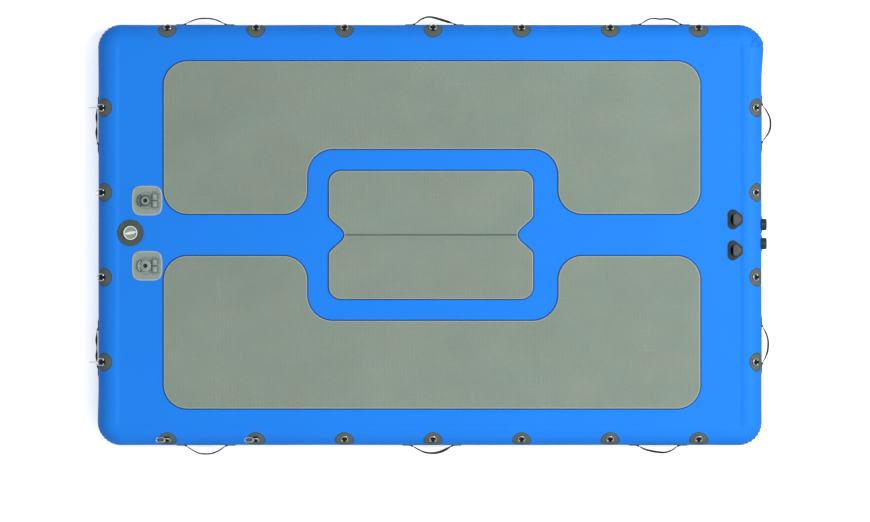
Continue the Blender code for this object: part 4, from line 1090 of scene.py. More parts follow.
def hinge_frame(joint, node):
    """Frame on a hinge: X along its axis, Y towards the middle of the piece that swings on it."""
    pivot = Vector(joint["pos_m"])
    axis = Vector(joint["axis"])
    toward = box_middle(node) - pivot
    toward = (toward - axis * toward.dot(axis)).normalized()
    return Matrix.Translation(pivot) @ Matrix((axis, toward, axis.cross(toward))).transposed().to_4x4()


# Handles


# Half the width of the webbing where it is folded into its sewn end.
END_HALF_WIDTH = 0.0072
# The left handles' webbing is bunched to this share of its width.
LEFT_WIDTH_SHARE = 0.53
# The share of a loop, from each end, over which its webbing opens out to its full width.
GATHERED_SHARE = 0.14
# How far a loop's centre line stays inside the room of its CAD piece.
OUT_ROOM = 0.003
# Each loop has its places along the span, its heights there as shares of its rise, and its twists in
# degrees at its two ends and those places.
LOOP_SHARES = {
    "back_1": ((0.16, 0.34, 0.52, 0.7, 0.86), (0.52, 0.87, 0.93, 0.82, 0.46), (8, 10, 12, 12, 12, 10, 8)),
    "back_2": ((0.14, 0.3, 0.46, 0.62, 0.8), (0.6, 0.94, 0.9, 0.66, 0.36), (11, 13, 14, 18, 22, 24, 14)),
    "back_3": ((0.17, 0.32, 0.5, 0.66, 0.84), (0.76, 0.98, 0.84, 0.93, 0.68), (8, 9, 11, 13, 14, 16, 12)),
    "front_1": ((0.16, 0.34, 0.5, 0.68, 0.86), (0.55, 0.92, 1.0, 0.9, 0.48), (8, 9, 11, 12, 11, 9, 8)),
    "front_2": ((0.16, 0.34, 0.52, 0.7, 0.86), (0.52, 0.9, 1.0, 0.86, 0.46), (16, 24, 21, 17, 13, 10, 9)),
    "front_3": ((0.15, 0.33, 0.5, 0.68, 0.86), (0.66, 1.0, 0.94, 0.76, 0.44), (10, 12, 15, 17, 17, 12, 10)),
    "right_1": ((0.16, 0.34, 0.5, 0.68, 0.86), (0.52, 0.9, 1.0, 0.92, 0.5), (11, 14, 17, 19, 18, 12, 10)),
    "right_2": ((0.16, 0.34, 0.52, 0.7, 0.86), (0.56, 0.94, 1.0, 0.86, 0.48), (10, 13, 16, 18, 18, 13, 10)),
    "left_1": ((0.12, 0.27, 0.5, 0.72, 0.88), (0.12, 0.26, 0.1, 0.24, 0.12), (4, 16, 40, 10, 39, 15, 4)),
    "left_2": ((0.12, 0.28, 0.5, 0.74, 0.88), (0.12, 0.24, 0.1, 0.27, 0.13), (4, 15, 39, 10, 41, 17, 4)),
}


def eased(table, share, column):
    """A value read from rows of shares, joined by smooth curves without overshoot."""
    for first, second in zip(table, table[1:]):
        if share <= second[0]:
            break
    i = table.index(first)
    before = table[max(0, i - 1)]
    after = table[min(len(table) - 1, i + 2)]
    width = second[0] - first[0]
    t = min(1.0, max(0.0, (share - first[0]) / width))
    slope_in = (second[column] - before[column]) / (second[0] - before[0]) * width
    slope_out = (after[column] - first[column]) / (after[0] - first[0]) * width
    blend_in = (2 * t**3 - 3 * t**2 + 1) * first[column] + (t**3 - 2 * t**2 + t) * slope_in
    blend_out = (3 * t**2 - 2 * t**3) * second[column] + (t**3 - t**2) * slope_out
    return blend_in + blend_out


def strap_rings(stations, thickness, place):
    """Rings of a flat strap from stations of (middle, across, out, half width), and their marks."""
    rings = []
    marks = []
    run = 0.0
    shares = (-1.0, -0.94, -0.6, 0.0, 0.6, 0.94, 1.0)
    before = stations[0][0]
    for middle, across, out, half in stations:
        run += (middle - before).length
        before = middle
        ring = []
        mark = []
        for face in (1, -1):
            for share in shares if face == 1 else reversed(shares):
                thick = thickness / 2 * (0.45 if abs(share) == 1.0 else 1.0)
                ring.append(place @ (middle + across * (share * half) + out * (face * thick)))
                mark.append((run, share * half + face * 0.003, abs(share)))
        rings.append(ring)
        marks.append(mark)
    return rings, marks


def handle_sites():
    """Every handle: its label, side and hinge."""
    sites = []
    for name, joint in JOINTS.items():
        if name.startswith("handle"):
            side, number = name.split("_")[1:3]
            sites.append((f"{side}_{number}", side, joint))
    return sites


def loop_extent(side, node):
    """Half the length of a handle's loop, and how far it stands out."""
    low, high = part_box(node)
    along, out = (high - low).xy if runs_along_x(side) else (high - low).yx
    return along / 2, out


class DOCK_OT_handles(bpy.types.Operator):
    """Builds the webbing carry handles, each with its own sag and twist"""

    bl_idname = "dock.handles"
    bl_label = "Carry handles"

    def execute(self, context):
        size = sizes()
        for label, side, joint in handle_sites():
            node = f"handle_{label}"
            place = hinge_frame(joint, node)
            half_span, reach = loop_extent(side, node)
            rise = reach - OUT_ROOM
            places, heights, twists = LOOP_SHARES[label]
            table = list(zip((0, *places, 1), (0, *heights, 0), twists))
            steps = 44
            points = []
            for i in range(steps + 1):
                share = i / steps
                x = (2 * share - 1) * half_span
                points.append(Vector((x, rise * eased(table, share, 1), 0)))
            stations = []
            for i, middle in enumerate(points):
                share = i / steps
                before = points[max(0, i - 1)]
                after = points[min(steps, i + 1)]
                along = (after - before).normalized()
                twist = Matrix.Rotation(math.radians(eased(table, share, 2)), 3, along)
                across = twist @ UP
                out = across.cross(along) * -1
                spread = min(1.0, min(share, 1 - share) / GATHERED_SHARE)
                widest = size.strap_width / 2 * (LEFT_WIDTH_SHARE if side == "left" else 1.0)
                half = END_HALF_WIDTH + (widest - END_HALF_WIDTH) * spread
                if i in (0, steps):
                    out = ALONG_Y
                stations.append((middle, across, out, half))
            rings, marks = strap_rings(stations, size.strap_thickness, place)
            strap = swept(f"handle_strap_{label}", rings, "strap_webbing", marks=marks, smooth=60)
            carried(strap, node, "webbing_black", node)
        return {"FINISHED"}


class DOCK_OT_handle_bases(bpy.types.Operator):
    """Builds the welded strips behind the handles and the sewn webbing ends on them"""

    bl_idname = "dock.handle_bases"
    bl_label = "Handle bases"

    def execute(self, context):
        size = sizes()
        radius = size.depth / 2
        half_length, half_width = 0.18, 0.022
        strips = []
        straps = []
        for label, side, joint in handle_sites():
            pivot = Vector(joint["pos_m"])
            along = pivot.x if runs_along_x(side) else pivot.y
            half_span = loop_extent(side, f"handle_{label}")[0]
            strip = flat_strip(f"base_{label}", half_length, half_width)
            strips.append(wrapped(strip, side, along, 0.0, -0.0004))
            place = rim_frame(side, along)
            for sign in (-1, 1):
                straps.append(strap_end(place, half_span + CLEAR, sign, radius))
        carried(joined("handle_base_strips", strips), "platform", "pvc_blue")
        carried(joined("handle_ends", straps), "platform", "webbing_black")
        return {"FINISHED"}


def flat_strip(name, half_length, half_width):
    """A welded strip drawn flat, face up: rounded corners and a pressed rim."""
    bpy.ops.mesh.primitive_plane_add(size=2)
    obj = bpy.context.object
    obj.scale = (half_length, half_width, 1)
    bpy.ops.object.transform_apply(location=False, rotation=False, scale=True)
    begin(name)
    bpy.ops.mesh.bevel(offset=0.010, segments=6, affect="VERTICES")
    step_inwards(((0.0006, 0.0011), (0.0010, 0.0006), (0.0035, 0.0), (0.0010, -0.0003)))
    slice_rows(ALONG_Y, -half_width, half_width, 12)
    slice_rows(ALONG_X, -half_length, half_length, 18)
    bpy.ops.object.mode_set(mode="OBJECT")
    return end(obj, "welded_patch", 30)


def strap_end(place, near, sign, radius):
    """The sewn end of a handle: webbing that comes down a padded fold and lies flat on its strip."""
    line = [(near, 0.0094), (near + 0.005, 0.0090), (near + 0.011, 0.0062), (near + 0.018, 0.0034)]
    line += [(near + 0.025, 0.0024), (near + 0.042, 0.0022), (near + 0.060, 0.0022)]
    line = smoothed(line, 4)
    stations = []
    for x, height in line:
        half = 0.010 + 0.004 * min(1.0, max(0.0, (x - near - 0.008) / 0.02))
        middle = Vector((sign * x, radius + height, 0))
        stations.append((middle, UP, ALONG_Y, half))
    thickness = 0.0022
    rings, marks = strap_rings(stations, thickness, place)
    pieces = [swept("strap_end", rings, "strap_webbing", marks=marks, smooth=60)]
    fold = []
    fold_marks = []
    fold_length, half, lowest = 0.0200, 0.0096, radius + 0.0006
    for x, height in line:
        if x > near + fold_length:
            break
        highest = radius + height - 0.0008
        corners = ((-half, highest), (half, highest), (half, lowest), (-half, lowest))
        fold.append([place @ Vector((sign * x, y, z)) for z, y in corners])
        fold_marks.append([(x, 0.0, 0.5)] * 4)
    pieces.append(swept("strap_fold", fold, "strap_webbing", marks=fold_marks, smooth=30))
    start, stop, half = near + 0.037, near + 0.057, 0.009
    box_path = [(start, -half), (stop, -half), (stop, half), (start, half), (start, -half)]
    box_path += [(stop, half), (start, half), (stop, -half)]
    level, pitch = radius + 0.0034, 0.0034
    thread = []
    for first, second in zip(box_path, box_path[1:]):
        side = Vector(second) - Vector(first)
        count = max(1, round(side.length / pitch))
        for k in range(count):
            stitch = []
            for share, lift in ((0.12, -0.0002), (0.50, 0.0002), (0.88, -0.0002)):
                x, z = Vector(first) + side * (k + share) / count
                stitch.append(place @ Vector((sign * x, level + lift, z)))
            thread.append(stitch)
    pieces.append(stitch_run("end_stitches", thread))
    return joined("strap_end", pieces)


def stitch_run(name, stitches):
    """Many short stitches in one mesh, each a three-point thread with five sides."""
    radius = 0.00035
    radii = [radius * 0.5, radius, radius * 0.5]
    obj = loose_rods(name, [rod_rings(points, radii, 5) for points in stitches])
    activate(obj)
    bpy.ops.object.mode_set(mode="EDIT")
    face_outwards()
    return end(obj, "strap_webbing", 60)


def smoothed(line, steps):
    """A line of points with smooth curves run through them."""
    rows = [(i / (len(line) - 1), *point) for i, point in enumerate(line)]
    count = (len(line) - 1) * steps
    return [(eased(rows, i / count, 1), eased(rows, i / count, 2)) for i in range(count + 1)]


# Deck pads


def raise_layers(layers):
    """Extrudes the selected face upwards, then insets it and lifts it layer by layer."""
    bpy.ops.mesh.extrude_region_move(TRANSFORM_OT_translate={"value": (0, 0, layers[0][1])})
    step_inwards(layers[1:])


def well_pad_outline(sign, steps=22):
    """Outline of a deck pad on one side of the channel, with the recess round the centre pad."""
    low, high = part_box("deck_pad_upper")
    radius = 0.15
    right = math.pi / 2
    channel = low.y
    well_left, well_right, well_y = -0.732, 0.765, 0.51
    corners = (
        (low.x + radius, channel + radius, 2 * right, 3 * right),
        (well_left - radius, channel + radius, -right, 0),
        (well_left + radius, well_y - radius, 2 * right, right),
        (well_right - radius, well_y - radius, right, 0),
        (well_right + radius, channel + radius, 2 * right, 3 * right),
        (high.x - radius, channel + radius, -right, 0),
        (high.x - radius, high.y - radius, 0, right),
        (low.x + radius, high.y - radius, right, 2 * right),
    )
    points = []
    for x, y, start, stop in corners:
        points += arc((x, y), radius, start, stop, steps)
    points = [(x, sign * y) for x, y in points]
    return points if sign > 0 else points[::-1]


def centre_pad_outline(steps=18):
    low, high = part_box("centre_pad")
    middle = (low.x + high.x) / 2
    half_x = (high.x - low.x) / 2
    radius, depth, reach = 0.08, 0.093, 0.12
    right = math.pi / 2
    x, y = half_x - radius, high.y - radius
    notch = []
    for i in range(41):
        share = i / 20 - 1
        inset = depth * (1 + math.cos(math.pi * share)) / 2
        notch.append((half_x - inset, share * reach))
    points = arc((x, -y), radius, -right, 0, steps) + notch
    points += arc((x, y), radius, 0, right, steps)
    points += arc((-x, y), radius, right, 2 * right, steps)
    points += [(-px, py) for px, py in reversed(notch)]
    points += arc((-x, -y), radius, 2 * right, 3 * right, steps)
    return [(px + middle, py) for px, py in points]


def offset_outline(outline, amount):
    """A counter-clockwise outline moved inwards by an amount, along its own normals."""
    points = [Vector(point) for point in outline]
    points = [point for i, point in enumerate(points) if (point - points[i - 1]).length > 1e-5]
    made = []
    for i, point in enumerate(points):
        before = (point - points[i - 1]).normalized()
        after = (points[(i + 1) % len(points)] - point).normalized()
        along = (before + after).normalized()
        inward = Vector((-along.y, along.x))
        made.append(tuple(point + inward * amount / max(0.5, inward.dot(Vector((-after.y, after.x))))))
    return made


def painted_pad_shadow(name, outline, low):
    """The thin dark band all round a pad's foot: painted contact shadow."""
    outside = offset_outline(outline, 0.0)
    under_pad, edge, crown = 0.020, 0.00015, 0.00025
    inside = offset_outline(outline, under_pad)
    rings = []
    for (x, y), (u, v) in zip(outside, inside):
        rings.append([(x, y, low), (x, y, low + edge), (u, v, low + crown), (u, v, low)])
    line = swept(name, rings + rings[:1], "painted_pad_shadow", closed=True, smooth=30)
    return carried(line, "platform", "pvc_blue")


def border_distance(place, border):
    """Distance from a place to the nearest side of an outline."""
    nearest = math.inf
    for i, point in enumerate(border):
        before = border[i - 1]
        side = point - before
        share = min(1.0, max(0.0, (place - before).dot(side) / side.length_squared))
        nearest = min(nearest, (place - before - side * share).length)
    return nearest


def foam_pad(name, outline, low, high, fold=False):
    """A foam sheet with a softly rounded, lighter cut edge and a face that is not quite flat."""
    size = sizes()
    bevel = size.pad_bevel
    # The pad is drawn in by the painted shadow band's width, so that the band shows round it.
    outline = offset_outline(outline, size.pad_shadow_width)
    obj = drawn(name, level_ring(outline, low))
    rise = high - low
    raise_layers(
        (
            (0, rise * 0.45), (bevel * 0.10, rise * 0.20), (bevel * 0.25, rise * 0.18),
            (bevel * 0.35, rise * 0.12), (bevel * 0.6, rise * 0.05), (0.004, 0.0),
        )
    )
    xs = [x for x, _ in outline]
    ys = [y for _, y in outline]
    pitch = 0.055
    for normal, first, last in ((ALONG_X, min(xs), max(xs)), (ALONG_Y, min(ys), max(ys))):
        slice_rows(normal, first, last, max(2, round((last - first) / pitch)))
    if fold:
        for y in (-0.0034, -0.0016, 0.0, 0.0016, 0.0034):
            slice_at((0, y, 0), ALONG_Y)
    face_outwards()
    border = [Vector(point) for point in outline]
    margin = bevel * 1.3 + 0.0004
    mark_points(obj, "edge", lambda place: border_distance(place.xy, border) < margin)
    deep, shallow, wobble = 0.62, 0.35, 0.00025
    fold_shade = obj.data.attributes.new("fold_shade", "FLOAT", "POINT")
    for mark, vert in zip(fold_shade.data, obj.data.vertices):
        above = vert.co.z - low
        # The fold groove is pressed down and its points marked for painted shade.
        if fold and abs(vert.co.y) < 0.002 and above > rise * 0.3:
            vert.co.z -= rise * (deep if abs(vert.co.y) < 0.001 else shallow)
            mark.value = 1.0
        elif above > rise - 0.00001:
            vert.co.z += (noise.noise(vert.co * 5.0) + 0.4 * noise.noise(vert.co * 17.0)) * wobble
    return end(obj, "deck_foam", 50)


class DOCK_OT_pads(bpy.types.Operator):
    """Builds the three foam deck pads"""

    bl_idname = "dock.pads"
    bl_label = "Deck pads"

    def execute(self, context):
        for label, outline, node in (
            ("upper", well_pad_outline(1), "deck_pad_upper"),
            ("lower", well_pad_outline(-1), "deck_pad_lower"),
            ("centre", centre_pad_outline(), "centre_pad"),
        ):
            # A dark band round the pad's foot: painted contact shadow.
            painted_pad_shadow(f"painted_pad_shadow_{label}", outline, TOP_Z)
            pad = foam_pad(f"foam_pad_{label}", outline, PAD_LOW.z, PAD_HIGH.z, fold=label == "centre")
            carried(pad, "platform", "foam_grey_green", node)
        return {"FINISHED"}


# Valve


def spun(name, profile, finish, place, steps=96, smooth=35):
    """A closed outline of (radius, height) points turned once round the Z axis."""
    obj = drawn(name, [(radius, 0, height) for radius, height in profile], "NOTHING")
    bpy.ops.mesh.select_all(action="SELECT")
    bpy.ops.mesh.spin(steps=steps, angle=math.tau, center=(0, 0, 0), axis=(0, 0, 1))
    bpy.ops.mesh.select_all(action="SELECT")
    bpy.ops.mesh.remove_doubles(threshold=0.00001)
    bpy.ops.mesh.dissolve_degenerate(threshold=0.00001)
    face_outwards()
    obj.data.transform(place)
    return end(obj, finish, smooth)


def rounded(profile, radius, steps=3):
    """Rounds every corner of a closed outline by one radius, less where its sides are short."""
    points = []
    count = len(profile)
    for i, corner in enumerate(profile):
        here = Vector(corner)
        before = Vector(profile[i - 1]) - here
        after = Vector(profile[(i + 1) % count]) - here
        if here.x < 1e-6:
            points.append(tuple(here))
            continue
        reach = min(radius, before.length * 0.45, after.length * 0.45)
        start = here + before.normalized() * reach
        stop = here + after.normalized() * reach
        for k in range(steps + 1):
            t = k / steps
            points.append(tuple(start * (1 - t) ** 2 + here * 2 * t * (1 - t) + stop * t**2))
    return points


def block(name, low, high, bevel, finish, place=None, segments=3):
    """A block with rounded edges."""
    obj = cube_between(name, low, high)
    bpy.ops.mesh.bevel(offset=bevel, segments=segments, affect="EDGES")
    bpy.ops.object.mode_set(mode="OBJECT")
    if place is not None:
        obj.data.transform(place)
    return end(obj, finish, 40)


def block_ring(name, low, high, bevel, finish, place, segments, count, offset=0.0):
    """Equal blocks set round the Z axis, the first of them turned by a share of their pitch."""
    turns = [Matrix.Rotation(math.tau * (k + offset) / count, 4, "Z") for k in range(count)]
    return [block(name, low, high, bevel, finish, place @ turn, segments) for turn in turns]


class DOCK_OT_valve(bpy.types.Operator):
    """Builds the ribbed valve patch, the valve's body and its cap with the finger bar"""

    bl_idname = "dock.valve"
    bl_label = "Air valve"

    def execute(self, context):
        low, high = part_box("valve_body")
        cap_low, cap_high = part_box("valve_cap")
        centre = (low + high) / 2
        deck = sizes().depth
        place = Matrix.Translation((centre.x, centre.y, deck))
        bore, rim, outer_rib, inner_rib, rib_pitch = 0.0273, 0.0800, 0.0765, 0.0475, 0.0085
        face, rib_top = 0.0015, 0.0026
        patch = [(bore, 0.0), (rim, -0.0002), (rim, 0.0011), (rim - 0.0008, face)]
        for rib in range(4):
            radius = outer_rib - rib * rib_pitch
            patch += [(radius, face), (radius - 0.0008, rib_top), (radius - 0.0030, rib_top)]
            patch += [(radius - 0.0038, face)]
        patch += [(bore, face)]
        made = spun("valve_patch", rounded(patch, 0.0005, 2), "welded_patch", place, 120)

        def edge_marks_and_groove_shade(spot):
            """The patch's dark rims, and painted shade in the grooves between its ribs."""
            reach = (spot.xy - centre.xy).length
            groove = 0.75 if spot.z < deck + face + 0.0003 else 0.0
            return 1.0 if reach > outer_rib or reach < inner_rib else groove

        mark_points(made, "edge", edge_marks_and_groove_shade)
        carried(made, "platform", "pvc_blue")
        flange = 0.0035
        seat = high.z - deck - flange
        body = [
            (0.0235, seat + flange), (0.0410, seat + flange), (0.0410, seat), (0.0270, seat),
            (0.0270, -0.034), (0.0185, -0.034), (0.0185, -0.031), (0.0235, -0.031),
        ]
        shell = spun("valve_shell", rounded(body, 0.0006, 2), "valve_shell", place)
        hub = [(0.0043, -0.031), (0.008, -0.031), (0.008, -0.025), (0.0043, -0.025)]
        pieces = [shell, spun("valve_hub", rounded(hub, 0.0006, 2), "valve_shell", place, 48)]
        corners = ((0.0072, -0.002, -0.0325), (0.0240, 0.002, -0.028))
        pieces += block_ring("valve_spoke", *corners, 0.0005, "valve_shell", place, 2, 4)
        carried(joined("valve_housing", pieces), "platform", "valve_grey", "valve_body")
        self.cap(cap_low, cap_high, place, deck)
        self.spring()
        for node in ("valve_nut", "valve_stem"):
            coat(frame["nodes"][node], "inner_plastic")
        return {"FINISHED"}

    def spring(self):
        """The coil under the stem."""
        low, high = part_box("valve_spring")
        wire_radius = 0.0006
        middle = (low + high) / 2
        radius = (high.x - low.x) / 2 - wire_radius
        turns, steps = 4, 96
        climb = high.z - low.z - 2 * wire_radius
        coil = []
        for i in range(steps + 1):
            turn = math.tau * turns * i / steps
            height = low.z + wire_radius + climb * i / steps
            coil.append((middle.x + radius * math.cos(turn), middle.y + radius * math.sin(turn), height))
        spring = swept("valve_coil", rod_rings(coil, wire_radius, 8), "polished_steel", smooth=60)
        carried(spring, "platform", "steel_bright", "valve_spring")
        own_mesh(spring)

    def cap(self, low, high, place, deck):
        foot = low.z - deck + 0.004
        top = high.z - deck
        well = top - 0.007
        outer = (high.x - low.x) / 2
        inner = outer - 0.0062
        profile = [
            (0.0, low.z - deck), (0.0228, low.z - deck), (0.0228, foot), (outer - 0.0006, foot),
            (outer, foot + 0.0012), (outer, top - 0.0028), (outer - 0.0018, top - 0.0006),
            (outer - 0.0032, top), (inner + 0.0010, top - 0.0004), (inner, top - 0.0022),
            (inner - 0.0010, well + 0.0008), (inner - 0.0034, well), (0.0, well),
        ]
        cap = spun("valve_lid", rounded(profile, 0.0008, 3), "valve_shell", place, 120)
        # Faces deep in the cap's wells take the darker finish: painted shade.
        cap.data.materials.append(finishes()["painted_valve_well_shade"])
        for face in cap.data.polygons:
            below = deck + top - face.center.z
            reach = math.hypot(face.center.x - place.translation.x, face.center.y - place.translation.y)
            face.material_index = int(below > 0.0050 and reach < inner)
        tilt = place @ Matrix.Rotation(math.radians(10), 4, "Z")
        lens = []
        for height, grow in ((well - 0.0006, 1.0), (top - 0.0026, 0.88), (top - 0.0012, 0.74)):
            ring = []
            for k in range(36):
                turn = math.tau * k / 36
                x = (inner + 0.0006) * math.cos(turn) * (1 if grow == 1 else 0.985)
                y = 0.0095 * grow * math.copysign(abs(math.sin(turn)) ** 1.25, math.sin(turn))
                ring.append(tilt @ Vector((x, y, height)))
            lens.append(ring)
        bar = swept("valve_lid_bar", lens, "valve_shell", smooth=50)
        corners = ((outer - 0.0006, -0.0009, foot + 0.0016), (outer + 0.0004, 0.0009, top - 0.0036))
        ribs = block_ring("lid_rib", *corners, 0.0003, "valve_shell", place, 1, 40)
        carried(joined("valve_lid", [cap, bar] + ribs), "valve_cap", "valve_grey", "valve_cap")


# Motor-bracket sockets


def hull_of_circles(circles, steps=120):
    """Outline of the tightest band round some circles, each (x, y, radius)."""
    points = []
    for i in range(steps):
        angle = math.tau * i / steps
        ray = (math.cos(angle), math.sin(angle))
        x, y, radius = max(circles, key=lambda c: c[0] * ray[0] + c[1] * ray[1] + c[2])
        points.append((x + radius * ray[0], y + radius * ray[1]))
    return points


def socket_outline(front, tip, half_width, corner, point, blunt=0.0):
    """A rounded triangle with its flat side in front and a tip that is blunt by half its straight part."""
    circles = (
        (front + corner, half_width - corner, corner),
        (front + corner, corner - half_width, corner),
        (tip - point, blunt, point),
        (tip - point, -blunt, point),
    )
    return hull_of_circles(circles)


def drawn_in(outline, amount, front_share=0.33):
    """An outline drawn in towards its middle, less at its flat front than elsewhere."""
    xs = [x for x, _ in outline]
    ys = [abs(y) for _, y in outline]
    low, high, wide = min(xs), max(xs), max(ys)
    made = []
    for x, y in outline:
        share = (x - low) / (high - low)
        shifted = low + amount * front_share + (x - low) * (1 - amount * (1 + front_share) / (high - low))
        made.append((shifted, y * (1 - amount / wide * (0.7 + 0.3 * share))))
    return made


def hooded_socket(name, place, half_width, wrap=False):
    """A moulded socket: a flange, a hood that swells out of it and a deep slot under the hood. On the deck a
    near-black sheet in the slot paints its shadow, and the hood takes a lighter finish than on the wall:
    painted light.
    """
    flange = socket_outline(
        front=-0.047, tip=0.0435, half_width=half_width, corner=0.031, point=0.024, blunt=0.011
    )
    thick = 0.003
    low_cut = -0.0008 if wrap else 0.0
    layers = [(flange, low_cut), (flange, thick * 0.55), (drawn_in(flange, 0.0010), thick * 0.9)]
    layers += [(drawn_in(flange, 0.0026), thick), (drawn_in(flange, 0.008), thick)]
    rows_in = (0.010, 0.016, 0.022, 0.028, 0.034, 0.040)
    layers += [(drawn_in(flange, inset), thick + 0.0005) for inset in rows_in]
    plate = swept(name, [level_ring(ring, z) for ring, z in layers], "socket_rubber")
    if wrap:
        plate = fitted_flange(plate)
    hood = socket_outline(front=-0.020, tip=0.036, half_width=0.036, corner=0.022, point=0.025)
    bow, bow_half = 0.006, 0.03
    hood = [(x + bow * max(0.0, 1 - (y / bow_half) ** 2) * (x < 0), y) for x, y in hood]
    foot = -0.016 if wrap else 0.00102
    rows = ((0.0, foot), (0.0, 0.00435), (0.0004, 0.0048), (0.0012, 0.0150), (0.0022, 0.0235))
    rows += ((0.0034, 0.0275), (0.0048, 0.0293), (0.0066, 0.0300))
    # The deck hood takes a lighter finish than the same hood on the wall: painted light.
    hood_lit_tone = "socket_rubber" if wrap else "socket_hood"
    dome = swept("hood", [level_ring(drawn_in(hood, inset), z) for inset, z in rows], hood_lit_tone, smooth=45)
    cut(dome, block("slot", (-0.040, -0.024, 0.0060), (0.014, 0.024, 0.0235), 0.0028, "socket_rubber"))
    pieces = [plate, dome]
    if not wrap:
        # A near-black crescent sheet on the flange under the hood: painted shadow of the slot.
        crescent = arc((0.012, 0), 0.0265, math.radians(236), math.radians(124), 20)
        crescent += arc((0.008, 0), 0.0385, math.radians(126), math.radians(234), 26)
        layers = [level_ring(crescent[::-1], z) for z in (0.0022, 0.0043)]
        pieces.append(swept("slot_shadow_sheet", layers, "painted_slot_shadow"))
        lip = (-0.0372, -0.030, thick * 0.5), (-0.0322, 0.030, 0.006)
        pieces.append(block("lip", *lip, 0.0014, "socket_rubber"))
    for y in (-0.0135, 0.0, 0.0135):
        rib = (-0.006, y - 0.0011, 0.0285), (0.020 - abs(y) * 0.4, y + 0.0011, 0.0306)
        pieces.append(block("grip_rib", *rib, 0.0008, hood_lit_tone, segments=2))
    made = joined(name, pieces)
    made.data.transform(place)
    return made


def fitted_flange(plate):
    """Bends a flat flange round the wall, X running up it."""
    radius = sizes().depth / 2
    for vert in plate.data.vertices:
        turn = vert.co.x / radius
        reach = radius + CLEAR + vert.co.z
        vert.co = (reach * math.sin(turn), vert.co.y, reach * math.cos(turn) - radius)
    return plate


class DOCK_OT_sockets(bpy.types.Operator):
    """Builds the four moulded sockets for a motor bracket, two on the deck and two on the end wall"""

    bl_idname = "dock.sockets"
    bl_label = "Motor sockets"

    def execute(self, context):
        size = sizes()
        upright = Matrix(((0, 0, 1, 0), (0, -1, 0, 0), (1, 0, 0, 0), (0, 0, 0, 1)))
        for label in ("upper", "lower"):
            seat, _, half_width = box_seat(f"deck_socket_{label}")
            place = Matrix.Translation(seat)
            made = hooded_socket(f"deck_bracket_socket_{label}", place, half_width)
            carried(made, "platform", "moulded_dark", f"deck_socket_{label}")
            seat, _, half_width = box_seat(f"wall_socket_{label}")
            place = Matrix.Translation((size.length / 2, seat.y, size.depth / 2)) @ upright
            made = hooded_socket(f"wall_bracket_socket_{label}", place, half_width, wrap=True)
            carried(made, "platform", "moulded_dark", f"wall_socket_{label}")
        return {"FINISHED"}


# Accessory mounts


def bowed_outline(half_x, half_y, exponent, steps=96):
    """A squarish outline with bowed sides and round corners."""
    points = []
    for i in range(steps):
        angle = math.tau * (i + 0.5) / steps
        cosine, sine = math.cos(angle), math.sin(angle)
        reach = (abs(cosine) ** exponent + abs(sine) ** exponent) ** (-1 / exponent)
        points.append((half_x * reach * cosine, half_y * reach * sine))
    return points


def toothed_outline(radius, notch, teeth=10):
    points = []
    pitch = math.tau / teeth
    for i in range(teeth):
        rows = ((-0.32, radius - 0.0006), (-0.25, radius), (0.0, radius), (0.25, radius))
        rows += ((0.32, radius - 0.0006), (0.39, radius - notch), (0.5, radius - notch))
        rows += ((0.61, radius - notch),)
        for share, reach in rows:
            angle = pitch * (i + share)
            points.append((reach * math.cos(angle), reach * math.sin(angle)))
    return points


